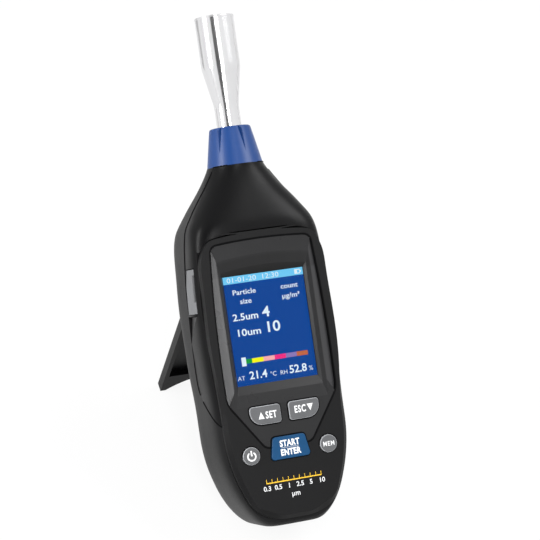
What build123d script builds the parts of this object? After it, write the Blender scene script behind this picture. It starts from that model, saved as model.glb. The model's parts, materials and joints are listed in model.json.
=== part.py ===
"""Hand-held airborne particle counter, standing on its open rear stand.

Device frame while the pieces are made: X to the right, Y into the device with the front
face at y = 0, Z along its length with the bottom at z = 0, in millimetres. At the end the
device leans back on its stand and drops onto the ground, front towards -Y and +Z up.
"""
from build123d import *
import math
import os

# ---------------------------------------------------------------- casing
casing_half_width = 37.4     # widest, at the waist
casing_depth = 50.0          # front face to back
waist_height = 108.0
hip_height = 45.0
hip_half_width = 35.6
shoulder_height = 153.0
shoulder_half_width = 35.0
neck_height = 189.0
neck_radius = 14.9
neck_depth = 24.0            # probe axis behind the front face
base_half_width = 14.0       # flat at the very bottom
base_inset = 7.0             # how far the bottom pulls in from the front and the back
base_round = 15.0            # height over which it does so
wall = 2.4
squareness = 5.5             # superellipse exponent of the casing's cross-section
seam_gap = 0.2
seam_depth = 18.5            # parting line between the hood and the rear cover
seam_slope = 0.10            # it leans back towards the hip
arm_fork_height = 72.0       # the arms start to taper here
arm_tip_height = 55.0        # and end in a point here
seam_bend = 12.0             # radius of the seam where the arms fork

# ---------------------------------------------------------------- front frame
frame_depth = 4.5
frame_bevel = 2.2
frame_edge_share = 0.2       # of that bevel, where the hood closes round the frame
frame_floor = 3.0            # depth of the pocket that takes the bezel
frame_foot = 3.4             # lowest point of the frame
arch_height = 153.6
arch_half_width = 30.3
arch_corner_drop = 8.0
lower_wall = 2.5
lower_rim = 3.0

# ---------------------------------------------------------------- bezel
bezel_top = 149.0
bezel_top_sag = 1.4
bezel_top_half = 27.2
bezel_side_half = 29.7
bezel_side_bow = 0.3
bezel_middle_height = 112.0
bezel_knee_rise = 3.0        # above the soft keys
bezel_foot_drop = 4.8        # below the start key's top
bezel_foot_half = 12.6
bezel_shoulder_radius = 4.0
bezel_knee_radius = 12.0
bezel_foot_radius = 5.0
bezel_gap = 0.35
bezel_sink = 0.15
screen_half_width = 22.1
screen_half_height = 28.4
screen_height = 102.7
dish_half_width = 25.2       # the dish that leads down to the screen
dish_middle_half = 23.4
dish_step_depth = 1.3        # depth at which its slope becomes steep
dish_ledge = 8.2             # its arched top edge above the screen
dish_step = 2.3
dish_arch = 2.0
dish_chin = 11.0             # its ramp below the screen
dish_chin_step = 4.5
cheek_drop = 1.1             # how far the bezel's sides fall away
cheek_low = 72.0
cheek_low_end = 62.0
cheek_high = 139.5
cheek_high_end = 146.5
cheek_corner = 27.4
lens_thickness = 1.1
lens_margin = 2.2
module_clearance = 0.3

# ---------------------------------------------------------------- keys
key_gap = 0.35
key_rise = 0.9
key_travel = 1.0
key_flange = 0.9
key_flange_width = 1.1
key_edge = 0.5
soft_key_inner = 2.3
soft_key_outer = 18.9
soft_key_drop = 11.3         # below the screen
soft_key_height = 9.6
soft_key_corner = 1.6
soft_key_big_corner = 6.5
start_key_drop = 7.4         # below the soft keys
start_key_height = 11.8
start_key_top_half = 8.8
start_key_bottom_half = 11.0
start_key_corner = 1.8
round_key_radius = 4.6
round_key_x = 21.2
round_key_rise = 4.2         # above the start key's foot
mat_margin = 3.0
mat_side_margin = 1.2
mat_clearance = 0.2
mat_thickness = 1.2

# ---------------------------------------------------------------- inlet
collar_height = 20.4
collar_top_radius = 10.9
collar_edge = 1.2
collar_lip = 2.0
flute_count = 6
flute_depth = 2.3
flute_half_width = 2.9
flute_end = 0.22             # share of the collar's height where a flute runs out
flute_turn = 12.0            # degrees, first flute from the front
probe_stem_radius = 6.6
probe_stem_top = 221.0
probe_taper_top = 241.5
probe_head_radius = 10.4
probe_top = 268.3
probe_wall = 0.9
probe_floor = 2.0
probe_bore_radius = 2.5
probe_foot_depth = 7.0       # how far the stem reaches below the collar's foot
probe_spigot_radius = 5.0
socket_radius = 9.0
socket_length = 14.0
socket_flange = 1.0
tube_radius = 4.0
seal_section = 1.0
turned_gap = 0.1             # between turned pieces that slide into each other
probe_blend = 14.0
seal_width = 1.2

# ---------------------------------------------------------------- stand
stand_low = 40.0
stand_high = 125.5
stand_channel = 7.0          # depth of the recess that takes the folded stand
stand_wall = 2.4
stand_gap = 0.5
stand_open = 56.0            # degrees
stand_arch = 11.0
stand_foot_width = 3.0
stand_foot_half = 34.0
stand_top_half = 29.2
stand_sink = 0.3             # below the back when folded
stand_edge = 1.2
pin_radius = 1.25
pin_clearance = 0.2
barrel_radius = 3.3
lug_width = 5.0
lug_x = 17.0
lug_gap = 0.4
lug_radius = 2.6
pin_cover = 0.4              # plastic left outside the stand's barrel

# ---------------------------------------------------------------- back
door_half_width = 22.0
door_low = 42.0
door_high = 113.0
door_tab_half_width = 5.0
door_tab = 6.5
door_thickness = 2.0
door_gap = 0.25
door_screw_depth = 9.0
door_ledge = 0.5             # how far the ledge under the door sinks into the tray
door_groove_count = 4
door_groove_pitch = 2.6
door_groove_length = 18.0
door_groove_width = 1.1
door_groove_depth = 0.6
door_groove_drop = 9.0
bay_margin = 2.0
tripod_height = 138.0
tripod_hole_radius = 2.6
tripod_bush_radius = 4.2
tripod_bush_length = 9.0
tripod_bush_floor = 1.0
tripod_boss_wall = 2.2
tripod_boss_floor = 1.5
vent_count = 5
vent_width = 1.4
vent_length = 16.0
vent_pitch = 3.6
vent_low = 14.0
vent_depth = 15.0
screw_radius = 1.25
screw_head_radius = 2.4
screw_head_height = 1.6
screw_length = 12.0
screw_edge = 0.5
screw_grip = 0.05            # play of the screw's pilot hole
screw_play = 0.25
screw_cross_reach = 1.6
screw_cross_half = 0.3
screw_cross_depth = 0.9
post_radius = 2.8
boss_radius = 3.4
upper_boss = (26.5, 143.5)
lower_boss_x = 17.5
lower_boss_drop = 16.9       # below the round keys

# ---------------------------------------------------------------- side port
port_low = 114.5
port_high = 137.5
port_front = 8.0
port_back = 20.8
port_back_top = 17.2
port_back_bend = 129.0
port_thickness = 1.3
port_gap = 0.3
port_window_margin = 1.6
port_notch = 1.9             # finger gap in the flap's front edge
port_notch_low = 6.0
port_notch_high = 3.0
scoop_high = 113.4           # tapered facet below the flap
scoop_low = 98.0
scoop_front = 8.6
scoop_depth = 1.4

# ---------------------------------------------------------------- inside
fit_gap = 0.3
board_thickness = 1.6
board_half_width = 27.0
board_low = 15.0
board_taper = 8.0
board_high = 139.0
board_tab_low = 115.5
board_tab_high = 137.5
board_hole_gap = 0.4
board_corner = 2.0
chips = ((-6, 6, 84, 96, 1.4), (10, 20, 70, 78, 1.2), (-20, -12, 66, 76, 1.6),
         (12, 18, 100, 108, 2.0))
post_depth = 4.0             # how far the front posts reach past the board
cell_radius = 9.1
cell_length = 65.0
cell_spacing = 0.3
cell_edge = 1.0
cell_bridge = 4.0
chamber_half_width = 19.0
chamber_low = 146.0
chamber_high = 166.0
chamber_half_depth = 9.0
chamber_post_radius = 3.0
chamber_corner = 2.0
chamber_floor = 4.0
laser_radius = 4.5
laser_length = 10.0
detector_thickness = 1.6
detector_can_radius = 3.5
detector_can_height = 3.0
detector_half_depth = 6.5
detector_half_height = 7.0
airway_low = 120.0
airway_x = 13.0
airway_depth = 28.0
filter_radius = 6.0
filter_high = 138.0
filter_edge = 1.2
pump_side_gap = 6.0          # between the pump and the casing's side wall
pump_width = 21.5
pump_high = 139.5
pump_depth = 20.0
pump_head = 8.0
pump_corner = 1.5
hose_radius = 2.0
hose_bore_radius = 1.1
hose_drop = 6.2
hose_bend = 4.5
buzzer_x = -10.0
buzzer_radius = 6.0
buzzer_height = 4.5
socket_shell = 0.6
usb_drop = 5.0
usb_height = 8.0
usb_thickness = 4.0
usb_length = 7.5
card_rise = 5.2
card_height = 10.0
card_thickness = 1.9
card_length = 12.0
sensor_half_width = 6.0
sensor_height = 12.0
sensor_board = 1.2
sensor_chip = 2.0
sensor_chip_height = 1.4

# values that follow from the ones above
collar_foot_radius = neck_radius - turned_gap
screen_low = screen_height - screen_half_height
screen_high = screen_height + screen_half_height
soft_key_high = screen_low - soft_key_drop
soft_key_low = soft_key_high - soft_key_height
start_key_high = soft_key_low - start_key_drop
start_key_low = start_key_high - start_key_height
round_key_height = start_key_low + round_key_rise
bezel_knee_height = soft_key_high + bezel_knee_rise
bezel_foot = start_key_high - bezel_foot_drop
lower_boss = (lower_boss_x, round_key_height - lower_boss_drop)
pump_outer_x = -(casing_half_width - wall - pump_side_gap)
pump_inner_x = pump_outer_x + pump_width
flange_back = frame_depth + seam_gap + key_flange
mat_front = flange_back + key_travel + mat_clearance
board_front = mat_front + mat_thickness
board_back = board_front + board_thickness
post_end = board_back + post_depth
screw_seat = post_end + screw_length / 2 - 1.0
channel_floor = casing_depth - stand_channel
pin_y = casing_depth - barrel_radius - pin_cover
pin_z = stand_high - barrel_radius - seam_gap
door_screw_z = door_high + door_tab / 2
chamber_middle = (chamber_low + chamber_high) / 2
chamber_post_x = chamber_half_width * 0.6
pump_middle = (pump_inner_x + pump_outer_x) / 2
port_middle = (port_low + port_high) / 2
pin_length = 2 * stand_top_half - stand_edge
beyond = 60.0                # outside the casing on any side
outside = casing_depth + beyond


def ease(t):
    """Smooth step from 0 to 1."""
    return t * t * (3 - 2 * t)


def round_in(t):
    """Rounded rise of the bottom's outline, from 0 to 1."""
    return (1 - (1 - min(t, 1.0)) ** 1.6) ** 0.6


def shoulder_share(z):
    """0 below the shoulder, 1 at the neck."""
    return min(max((z - shoulder_height) / (neck_height - shoulder_height), 0.0), 1.0)


def half_width(z):
    """Half the casing's width at height z."""
    if z < hip_height:
        return base_half_width + (hip_half_width - base_half_width) * round_in(z / hip_height)
    if z < waist_height:
        rise = ease((z - hip_height) / (waist_height - hip_height))
        return hip_half_width + (casing_half_width - hip_half_width) * rise
    if z < shoulder_height:
        fall = ((z - waist_height) / (shoulder_height - waist_height)) ** 2
        return casing_half_width - (casing_half_width - shoulder_half_width) * fall
    t = shoulder_share(z)
    fall = 0.6 * t ** 1.25 + 0.4 * ease(t)
    return shoulder_half_width - (shoulder_half_width - neck_radius) * fall


def front_of(z):
    """Depth of the casing's front at height z."""
    if z < base_round:
        return base_inset * (1 - round_in(z / base_round))
    return (neck_depth - neck_radius) * ease(shoulder_share(z))


def back_of(z):
    """Depth of the casing's back at height z."""
    if z < base_round:
        return casing_depth - base_inset * (1 - round_in(z / base_round))
    return casing_depth - (casing_depth - neck_depth - neck_radius) * ease(shoulder_share(z))


def exponent(z):
    """Superellipse exponent at height z: boxy casing, round neck."""
    return squareness - (squareness - 2.0) * shoulder_share(z) ** 0.6


def width_at(z, y, inset=0.0):
    """Half the casing's width at height z and depth y, pulled in by inset."""
    middle = (front_of(z) + back_of(z)) / 2
    reach = (back_of(z) - front_of(z)) / 2 - inset
    share = min(abs(y - middle) / reach, 1.0)
    return (half_width(z) - inset) * (1 - share ** exponent(z)) ** (1 / exponent(z))


def section(z, inset):
    """Closed cross-section of the casing at height z, pulled in by inset."""
    a = half_width(z) - inset
    middle = (front_of(z) + back_of(z)) / 2
    b = (back_of(z) - front_of(z)) / 2 - inset
    n = exponent(z)
    points = []
    steps = 40
    for step in range(steps):
        turn = 2 * math.pi * step / steps
        c = math.cos(turn)
        s = math.sin(turn)
        x = a * math.copysign(abs(c) ** (2 / n), c)
        y = middle + b * math.copysign(abs(s) ** (2 / n), s)
        points.append((x, y, z))
    return Face(Wire([Edge.make_spline([Vector(*p) for p in points], periodic=True)]))


def casing_form(inset, low, high):
    """The casing's solid form between two heights."""
    stations = [0, 2, 5, 9, 15, 22, 30, 38, 45, 58, 75, 92, 108, 125, 140, 150, 156, 162, 168,
                174, 180, 185, neck_height]
    kept = [z for z in stations if low + 1.0 < z < high - 1.0]
    return loft([section(z, inset) for z in [low] + kept + [high]])


def slab(outline, front, back):
    """Extrude an outline drawn in X and Z from one depth to another."""
    placed = Plane((0, front, 0), x_dir=(1, 0, 0), z_dir=(0, -1, 0)) * outline
    return extrude(placed, amount=back - front, dir=(0, 1, 0))


def prism(outline, half_span):
    """Extrude an outline drawn in Y and Z to both sides along X."""
    return extrude(Plane.YZ * outline, amount=half_span, both=True)


def block(x0, x1, y0, y1, z0, z1):
    """Box between two corners."""
    box = Box(x1 - x0, y1 - y0, z1 - z0)
    return Pos((x0 + x1) / 2, (y0 + y1) / 2, (z0 + z1) / 2) * box


def rod(radius, start, end):
    """Round rod from one point to another."""
    axis = Vector(*end) - Vector(*start)
    return Solid.make_cylinder(radius, axis.length, Plane(origin=start, z_dir=axis))


def one(shape):
    """The shape as a single solid."""
    return max(shape.solids(), key=lambda solid: solid.volume)


# ---------------------------------------------------------------- outlines
def bevel_share(z):
    """How much of the bevel shows at height z."""
    t = min(max((z - arm_tip_height) / (arm_fork_height - arm_tip_height), 0.0), 1.0)
    return 1 - (1 - frame_edge_share) * ease(t)


def frame_outline(grow=0.0, bevel=0.0):
    """Outline of the front frame, drawn in X and Z, pulled in by its bevel."""
    heights = (12, 18, 25, 34, 45, 60, 80, 108, 130, 140)
    right = [(frame_half(z) + grow - bevel * bevel_share(z), z) for z in heights]
    corner = arch_height - arch_corner_drop
    upper = grow - bevel * frame_edge_share
    lower = grow - bevel
    top = [(arch_half_width + 1.4 + upper, corner), (arch_half_width - 0.8 + upper, corner + 3.6),
           (arch_half_width - 5.8, arch_height - 2.0 + upper),
           (13.0, arch_height - 0.6 + upper)]
    foot = [(9.0, frame_foot + 0.35 - lower), (17.5 + lower, frame_foot + 3.2 - lower)]
    loop = [(0, frame_foot - lower)] + foot + right + top + [(0, arch_height + upper)]
    points = [Vector(x, z) for x, z in loop]
    right_edge = Edge.make_spline(points, tangents=[Vector(1, 0), Vector(-1, 0)])
    left_edge = right_edge.mirror(Plane.YZ)
    return Face(Wire([right_edge, left_edge]))


def frame_half(z):
    """Half the front frame's width at height z."""
    return width_at(z, frame_depth) - 1.2 * max(0.0, 1 - z / hip_height)


def bezel_outline(grow=0.0):
    """Shield-shaped outline of the bezel, grown by grow."""
    shoulder = bezel_top - bezel_top_sag + grow
    top_half = bezel_top_half + grow
    side_half = bezel_side_half + grow
    middle_half = side_half - bezel_side_bow
    slant = math.atan2(bezel_knee_height - bezel_foot, bezel_side_half - bezel_foot_half)
    knee = bezel_knee_height - grow * math.tan(math.pi / 4 - slant / 2)
    foot = bezel_foot - grow
    foot_half = bezel_foot_half + grow * math.tan(slant / 2)
    edges = [
        ThreePointArc((-top_half, shoulder), (0, bezel_top + grow), (top_half, shoulder)),
        ThreePointArc((top_half, shoulder), (middle_half, bezel_middle_height),
                      (side_half, knee)),
        Line((side_half, knee), (foot_half, foot)),
        Line((foot_half, foot), (-foot_half, foot)),
        Line((-foot_half, foot), (-side_half, knee)),
        ThreePointArc((-side_half, knee), (-middle_half, bezel_middle_height),
                      (-top_half, shoulder)),
    ]
    face = make_face(edges)
    for height, radius in ((shoulder, bezel_shoulder_radius), (knee, bezel_knee_radius),
                           (foot, bezel_foot_radius)):
        face = fillet([v for v in face.vertices() if abs(v.Y - height) < 0.01], radius + grow)
    return face


def soft_key_outline(side, grow=0.0):
    """SET on side -1, ESC on side +1: one large corner at the lower outer end."""
    low, high = soft_key_low, soft_key_high
    corners = [(side * soft_key_inner, low), (side * soft_key_outer, low),
               (side * soft_key_outer, high), (side * soft_key_inner, high)]
    face = make_face(Polyline(*corners, close=True))
    outer = [v for v in face.vertices()
             if abs(v.X - side * soft_key_outer) < 0.01 and abs(v.Y - low) < 0.01]
    face = fillet(outer, soft_key_big_corner)
    rest = [v for v in face.vertices()
            if abs(abs(v.X) - soft_key_inner) < 0.01 or abs(v.Y - high) < 0.01]
    face = fillet(rest, soft_key_corner)
    return offset(face, grow) if grow else face


def start_key_outline(grow=0.0):
    """Trapezoid, wider at the bottom."""
    corners = [(-start_key_bottom_half, start_key_low), (start_key_bottom_half, start_key_low),
               (start_key_top_half, start_key_high), (-start_key_top_half, start_key_high)]
    face = make_face(Polyline(*corners, close=True))
    face = fillet(face.vertices(), start_key_corner)
    return offset(face, grow) if grow else face


def round_key_outline(side, grow=0.0):
    """Power on side -1, memory on side +1."""
    return Pos(side * round_key_x, round_key_height) * Circle(round_key_radius + grow)


key_outlines = {
    "set_key": lambda grow=0.0: soft_key_outline(-1, grow),
    "esc_key": lambda grow=0.0: soft_key_outline(1, grow),
    "start_key": start_key_outline,
    "power_key": lambda grow=0.0: round_key_outline(-1, grow),
    "memory_key": lambda grow=0.0: round_key_outline(1, grow),
}


def seam_line(z):
    """Depth of the seam between the hood and the rear cover."""
    return seam_depth + seam_slope * max(shoulder_height - z, 0.0)


def region_behind_seam(shift):
    """Everything behind the seam, as a profile in Y and Z moved back by shift."""
    edge = frame_depth + shift
    fork = seam_line(arm_fork_height) + shift
    upper = seam_line(neck_height) + shift
    over = neck_height + beyond
    points = [(edge, -beyond), (edge, arm_tip_height), (fork, arm_fork_height),
              (upper, shoulder_height), (upper, over), (casing_depth + beyond, over),
              (casing_depth + beyond, -beyond)]
    face = make_face(Polyline(*points, close=True))
    bends = [v for v in face.vertices() if abs(v.Y - arm_fork_height) < 0.01]
    return fillet(bends, seam_bend)


# ---------------------------------------------------------------- casing shells
outer_form = casing_form(0.0, 0.0, neck_height)
inner_form = casing_form(wall, wall, neck_height - wall)

stand_recess = block(-beyond, beyond, channel_floor, outside, stand_low - stand_gap,
                     stand_high + stand_gap)
recess_tray = block(-beyond, beyond, channel_floor - wall, outside, stand_low - stand_gap - wall,
                    stand_high + stand_gap + wall)

behind = prism(region_behind_seam(seam_gap / 2), beyond)
everywhere = block(-beyond, beyond, -beyond, outside, -beyond, neck_height + beyond)
ahead = everywhere - prism(region_behind_seam(-seam_gap / 2), beyond)

frame_blank = slab(frame_outline(), frame_bevel, frame_depth)
frame_blank += loft([Plane.XZ * frame_outline(bevel=frame_bevel),
                     Plane.XZ.offset(-frame_bevel) * frame_outline()], ruled=True)
frame_room = slab(frame_outline(seam_gap), -beyond, frame_depth + seam_gap)


def boss_places():
    """X and Z of the four casing screws."""
    places = []
    for x, z in (upper_boss, lower_boss):
        places += [(-x, z), (x, z)]
    return places


def make_front_cover():
    cover = frame_blank
    cover -= slab(bezel_outline(bezel_gap), -beyond, frame_floor)
    cover -= slab(module_outline(module_clearance), 0, outside)
    for outline in key_outlines.values():
        cover -= slab(outline(key_gap), -beyond, outside)
    cover -= slab(lower_hollow(), lower_wall, outside)
    for x, z in boss_places():
        root = frame_floor if z > hip_height else lower_wall
        cover += rod(post_radius, (x, root - seam_gap, z), (x, post_end, z))
    cover -= slab(bezel_outline(bezel_gap), -beyond, frame_floor)
    for x, z in boss_places():
        cover -= rod(screw_radius + screw_grip, (x, frame_depth, z), (x, outside, z))
    return one(cover)


def module_outline(grow=0.0):
    """Outline of the display, drawn in X and Z."""
    room = Rectangle(2 * (screen_half_width + lens_margin + grow),
                     2 * (screen_half_height + lens_margin + grow))
    return Pos(0, screen_height) * room


def lower_hollow():
    """Outline of the hollow behind the frame's lower face."""
    points = [(frame_half(z) - lower_rim, z) for z in (12, 20, 30, 38)]
    loop = points + [(-x, z) for x, z in reversed(points)]
    face = make_face(Polyline(*loop, close=True))
    return fillet(face.vertices(), 2.0)


def make_shell():
    cavity = inner_form - recess_tray
    shell = outer_form - stand_recess - cavity
    neck_hole = rod(socket_radius + turned_gap, (0, neck_depth, neck_height - 2 * wall),
                    (0, neck_depth, neck_height + beyond))
    return shell - neck_hole


def port_blank(grow):
    """Space of the port flap on the left side, grown by grow."""
    corners = [(port_front - grow, port_low - grow), (port_back + grow, port_low - grow),
               (port_back - 0.6 + grow, port_back_bend), (port_back_top + grow, port_high + grow),
               (port_front - grow, port_high + grow)]
    face = make_face(Polyline(*corners, close=True))
    return extrude(Plane.YZ.offset(-beyond) * face, amount=beyond - neck_radius)


def side_skin(inset):
    """Inside of the casing's skin round the port."""
    return casing_form(inset, waist_height - 8, shoulder_height - 3)


def make_scoop():
    """Wedge that cuts the tapered facet below the port flap."""
    back = seam_line(scoop_low) + 1.0
    front = Vector(-width_at(scoop_high, scoop_front), scoop_front, scoop_high)
    deep = Vector(-width_at(scoop_high, back) + scoop_depth, back, scoop_high)
    tip = Vector(-width_at(scoop_low, back), back, scoop_low)
    away = Vector(-scoop_depth * 2, 0, 0)
    inner = [front, deep, tip]
    outer = [point + away for point in inner]
    sides = [[inner[a], inner[b], outer[b], outer[a]] for a, b in ((0, 1), (1, 2), (2, 0))]
    faces = [Face(Wire.make_polygon(loop)) for loop in [inner, outer[::-1]] + sides]
    return Solid(Shell(faces))


shell = make_shell()
port_skin = side_skin(port_thickness)


def make_grip_hood():
    hood = shell & ahead
    hood -= frame_room
    hood -= block(-beyond, beyond, -beyond, frame_depth + seam_gap, -beyond,
                  arch_height - arch_corner_drop)
    hood -= port_blank(port_gap) - side_skin(port_thickness + port_gap)
    hood -= block(-beyond, -neck_radius, port_front + port_window_margin,
                  port_back_top - port_window_margin, port_low + port_window_margin,
                  port_high - port_window_margin)
    hood -= make_scoop()
    for x, z in boss_places():
        hood -= rod(post_radius + seam_gap, (x, 0, z), (x, post_end, z))
    return one(hood)


def make_port_cover():
    notch = block(-beyond, 0, -beyond, port_front + port_notch, port_low + port_notch_low,
                  port_high - port_notch_high)
    return one((outer_form & port_blank(0.0)) - port_skin - notch)


def door_blank(grow, back):
    """Battery door with its screw tab, grown by grow and carried back to depth back."""
    front = channel_floor - door_thickness
    door = block(-door_half_width - grow, door_half_width + grow, front, back,
                 door_low - grow, door_high + grow)
    return door + block(-door_tab_half_width - grow, door_tab_half_width + grow, front, back,
                        door_high - door_gap, door_high + door_tab + grow)


def stand_lug(x):
    """Ear that carries the stand's pin, centred on x."""
    half = lug_width / 2
    lug = block(x - half, x + half, channel_floor - door_ledge, pin_y, pin_z - lug_radius,
                pin_z + lug_radius)
    return lug + rod(lug_radius, (x - half, pin_y, pin_z), (x + half, pin_y, pin_z))


def make_rear_cover():
    cover = shell & behind
    cover += stand_lug(-lug_x) + stand_lug(lug_x)
    cover -= rod(pin_radius, (-beyond, pin_y, pin_z), (beyond, pin_y, pin_z))
    tray_in = channel_floor - wall + door_ledge
    cover += block(-door_half_width - wall, door_half_width + wall,
                   channel_floor - door_thickness - bay_margin, tray_in,
                   door_low - wall, door_high + wall)
    screw_foot = channel_floor - door_screw_depth
    cover += rod(boss_radius, (0, screw_foot, door_screw_z), (0, tray_in, door_screw_z))
    cover -= door_blank(door_gap, outside)
    cover -= block(-door_half_width + bay_margin, door_half_width - bay_margin, post_end, outside,
                   door_low + bay_margin, door_high - bay_margin)
    cover -= rod(screw_radius + screw_grip, (0, screw_foot + bay_margin, door_screw_z),
                 (0, outside, door_screw_z))
    for side in (-1, 1):
        x = side * chamber_post_x
        chamber_back = neck_depth + chamber_half_depth + turned_gap
        cover += rod(chamber_post_radius, (x, chamber_back, chamber_middle),
                     (x, casing_depth - wall + seam_gap, chamber_middle))
    cover += rod(tripod_bush_radius + tripod_boss_wall,
                 (0, casing_depth - tripod_bush_length - tripod_boss_floor, tripod_height),
                 (0, casing_depth - wall / 2, tripod_height))
    cover -= rod(tripod_bush_radius, (0, casing_depth - tripod_bush_length, tripod_height),
                 (0, outside, tripod_height))
    for x, z in boss_places():
        cover += rod(boss_radius, (x, post_end + seam_gap, z), (x, casing_depth - wall + seam_gap, z))
    for x, z in boss_places():
        cover -= rod(screw_radius + screw_play, (x, 0, z), (x, outside, z))
        cover -= rod(screw_head_radius + screw_play, (x, screw_seat, z), (x, outside, z))
    for index in range(vent_count):
        slot = Pos(0, vent_low + index * vent_pitch) * SlotOverall(vent_length, vent_width)
        cover -= slab(slot, casing_depth - vent_depth, outside)
    return one(cover)


def stand_outline(inset, low, high):
    """Tapered outline of the stand between two heights, drawn in X and Z."""
    slope = (stand_foot_half - stand_top_half) / (stand_high - stand_low)

    def half(z):
        return stand_foot_half - inset - slope * (z - stand_low)

    return make_face(Polyline((-half(low), low), (half(low), low), (half(high), high),
                              (-half(high), high), close=True))


def make_rear_stand():
    under = channel_floor + stand_gap
    skin = casing_depth - stand_sink
    stand = slab(stand_outline(0.0, stand_low, stand_high), under, skin)
    long_edges = [e for e in stand.edges() if e.center().Y > skin - 0.01
                  and abs(e.center().X) > stand_top_half - 1]
    stand = fillet(long_edges, stand_edge)
    hollow_low = stand_low + stand_arch + stand_wall
    hollow_high = pin_z - barrel_radius - stand_wall
    stand -= slab(stand_outline(stand_wall, hollow_low, hollow_high), 0, skin - stand_wall)
    barrel = rod(barrel_radius, (-beyond, pin_y, pin_z), (beyond, pin_y, pin_z))
    stand -= block(-beyond, beyond, 0, outside, pin_z, stand_high + beyond) - barrel
    stand -= block(-beyond, beyond, 0, pin_y, pin_z - barrel_radius, pin_z) - barrel
    for side in (-1, 1):
        half = lug_width / 2 + lug_gap
        stand -= block(side * lug_x - half, side * lug_x + half, 0, outside,
                       hollow_high, stand_high + beyond)
    stand -= rod(pin_radius + pin_clearance, (-beyond, pin_y, pin_z), (beyond, pin_y, pin_z))
    foot = stand_foot_half - stand_foot_width
    arch = ThreePointArc((-foot, stand_low), (0, stand_low + stand_arch), (foot, stand_low))
    mouth = make_face([arch, Line((foot, stand_low), (-foot, stand_low))])
    stand -= slab(mouth, 0, outside)
    return one(stand).rotate(Axis((0, pin_y, pin_z), (1, 0, 0)), stand_open)


def dish_face(depth, half, low, high, arch):
    """Outline of the dish at one depth: straight sides and an arched top."""
    outline = make_face([Line((half, high), (half, low)), Line((half, low), (-half, low)),
                         Line((-half, low), (-half, high)),
                         ThreePointArc((-half, high), (0, high + arch), (half, high))])
    return Plane((0, depth, 0), x_dir=(1, 0, 0), z_dir=(0, -1, 0)) * outline


def make_bezel():
    plate = slab(bezel_outline(), bezel_sink, frame_floor)
    rim = dish_face(bezel_sink, dish_half_width, screen_low - dish_chin,
                    screen_high + dish_ledge, dish_arch)
    step = dish_face(dish_step_depth, dish_middle_half, screen_low - dish_chin_step,
                     screen_high + dish_step, dish_arch)
    glass = Plane((0, frame_floor, 0), x_dir=(1, 0, 0), z_dir=(0, -1, 0)) * (
        Pos(0, screen_height) * Rectangle(2 * screen_half_width, 2 * screen_half_height))
    plate -= loft([rim, step], ruled=True)
    plate -= loft([step, glass], ruled=True)
    reach = bezel_side_half + 1
    fall = cheek_drop * (reach - dish_half_width) / (bezel_side_half - dish_half_width)
    for side in (-1, 1):
        slope = make_face(Polyline((side * dish_half_width, bezel_sink),
                                   (side * reach, bezel_sink + fall),
                                   (side * reach, -beyond), (side * dish_half_width, -beyond),
                                   close=True))
        cheek = extrude(slope, amount=cheek_high_end)
        region = make_face(Polyline((side * dish_half_width, cheek_high),
                                    (side * cheek_corner, cheek_high_end),
                                    (side * reach, cheek_high_end), (side * reach, cheek_low_end),
                                    (side * dish_half_width, cheek_low), close=True))
        plate -= cheek & slab(region, -beyond, frame_floor)
    for outline in key_outlines.values():
        plate -= slab(outline(key_gap), -beyond, frame_depth)
    return one(plate)


def make_key(name):
    outline = key_outlines[name]
    cap = slab(outline(), -key_rise, frame_depth + seam_gap)
    front_edges = [e for e in cap.edges() if e.bounding_box().max.Y < -key_rise + 0.01]
    cap = fillet(front_edges, key_edge)
    flange = slab(outline(key_flange_width), flange_back - key_flange, flange_back)
    return one(cap + flange)


def make_flute(index):
    """Wedge that cuts one V-shaped flute into the collar."""
    angle = math.radians(flute_turn + index * 360 / flute_count)
    out = Vector(math.sin(angle), -math.cos(angle), 0)
    across = Vector(math.cos(angle), math.sin(angle), 0)
    over = Vector(0, neck_depth, neck_height + collar_height + collar_edge)
    end_radius = collar_foot_radius + (collar_top_radius - collar_foot_radius) * flute_end
    rim = over + out * (collar_top_radius + collar_edge)
    sink = over + out * (collar_top_radius - flute_depth)
    fade = Vector(0, neck_depth, neck_height + flute_end * collar_height)
    fade += out * (end_radius + seam_gap)
    left = rim - across * flute_half_width
    right = rim + across * flute_half_width
    corners = ([left, right, sink], [left, sink, fade], [sink, right, fade], [right, left, fade])
    return Solid(Shell([Face(Wire.make_polygon(trio)) for trio in corners]))


def make_collar():
    foot = neck_height
    top = neck_height + collar_height
    bore = probe_stem_radius + turned_gap
    collar = turned([(socket_radius - collar_lip, foot), (collar_foot_radius, foot),
                     (collar_top_radius, top), (bore, top), (bore, foot + collar_lip),
                     (socket_radius - collar_lip, foot + collar_lip)])
    rim = [e for e in collar.edges() if e.bounding_box().min.Z > top - 0.01
           and e.bounding_box().size.X > 2 * collar_top_radius - 0.5]
    collar = fillet(rim, collar_edge)
    for index in range(flute_count):
        collar -= make_flute(index)
    return one(collar)


def make_probe():
    foot = neck_height - probe_foot_depth
    mouth = probe_head_radius - probe_wall
    outline = [(probe_bore_radius, foot), (probe_spigot_radius, foot),
               (probe_spigot_radius, neck_height), (probe_stem_radius, neck_height),
               (probe_stem_radius, probe_stem_top), (probe_head_radius, probe_taper_top),
               (probe_head_radius, probe_top), (mouth, probe_top),
               (mouth, probe_taper_top + probe_floor),
               (probe_bore_radius, probe_stem_top + probe_floor)]
    profile = make_face(Polyline(*outline, close=True))
    for radius, height in ((probe_head_radius, probe_taper_top),
                           (probe_stem_radius, probe_stem_top)):
        bend = [v for v in profile.vertices()
                if abs(v.X - radius) < 0.01 and abs(v.Y - height) < 0.01]
        profile = fillet(bend, probe_blend)
    face = Pos(0, neck_depth, 0) * (Plane.XZ * profile)
    return one(revolve(face, Axis((0, neck_depth, 0), (0, 0, 1))))


def turned(profile):
    """Solid of revolution about the probe's axis, from a profile of radius and height."""
    face = Pos(0, neck_depth, 0) * (Plane.XZ * make_face(Polyline(*profile, close=True)))
    return one(revolve(face, Axis((0, neck_depth, 0), (0, 0, 1))))


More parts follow.
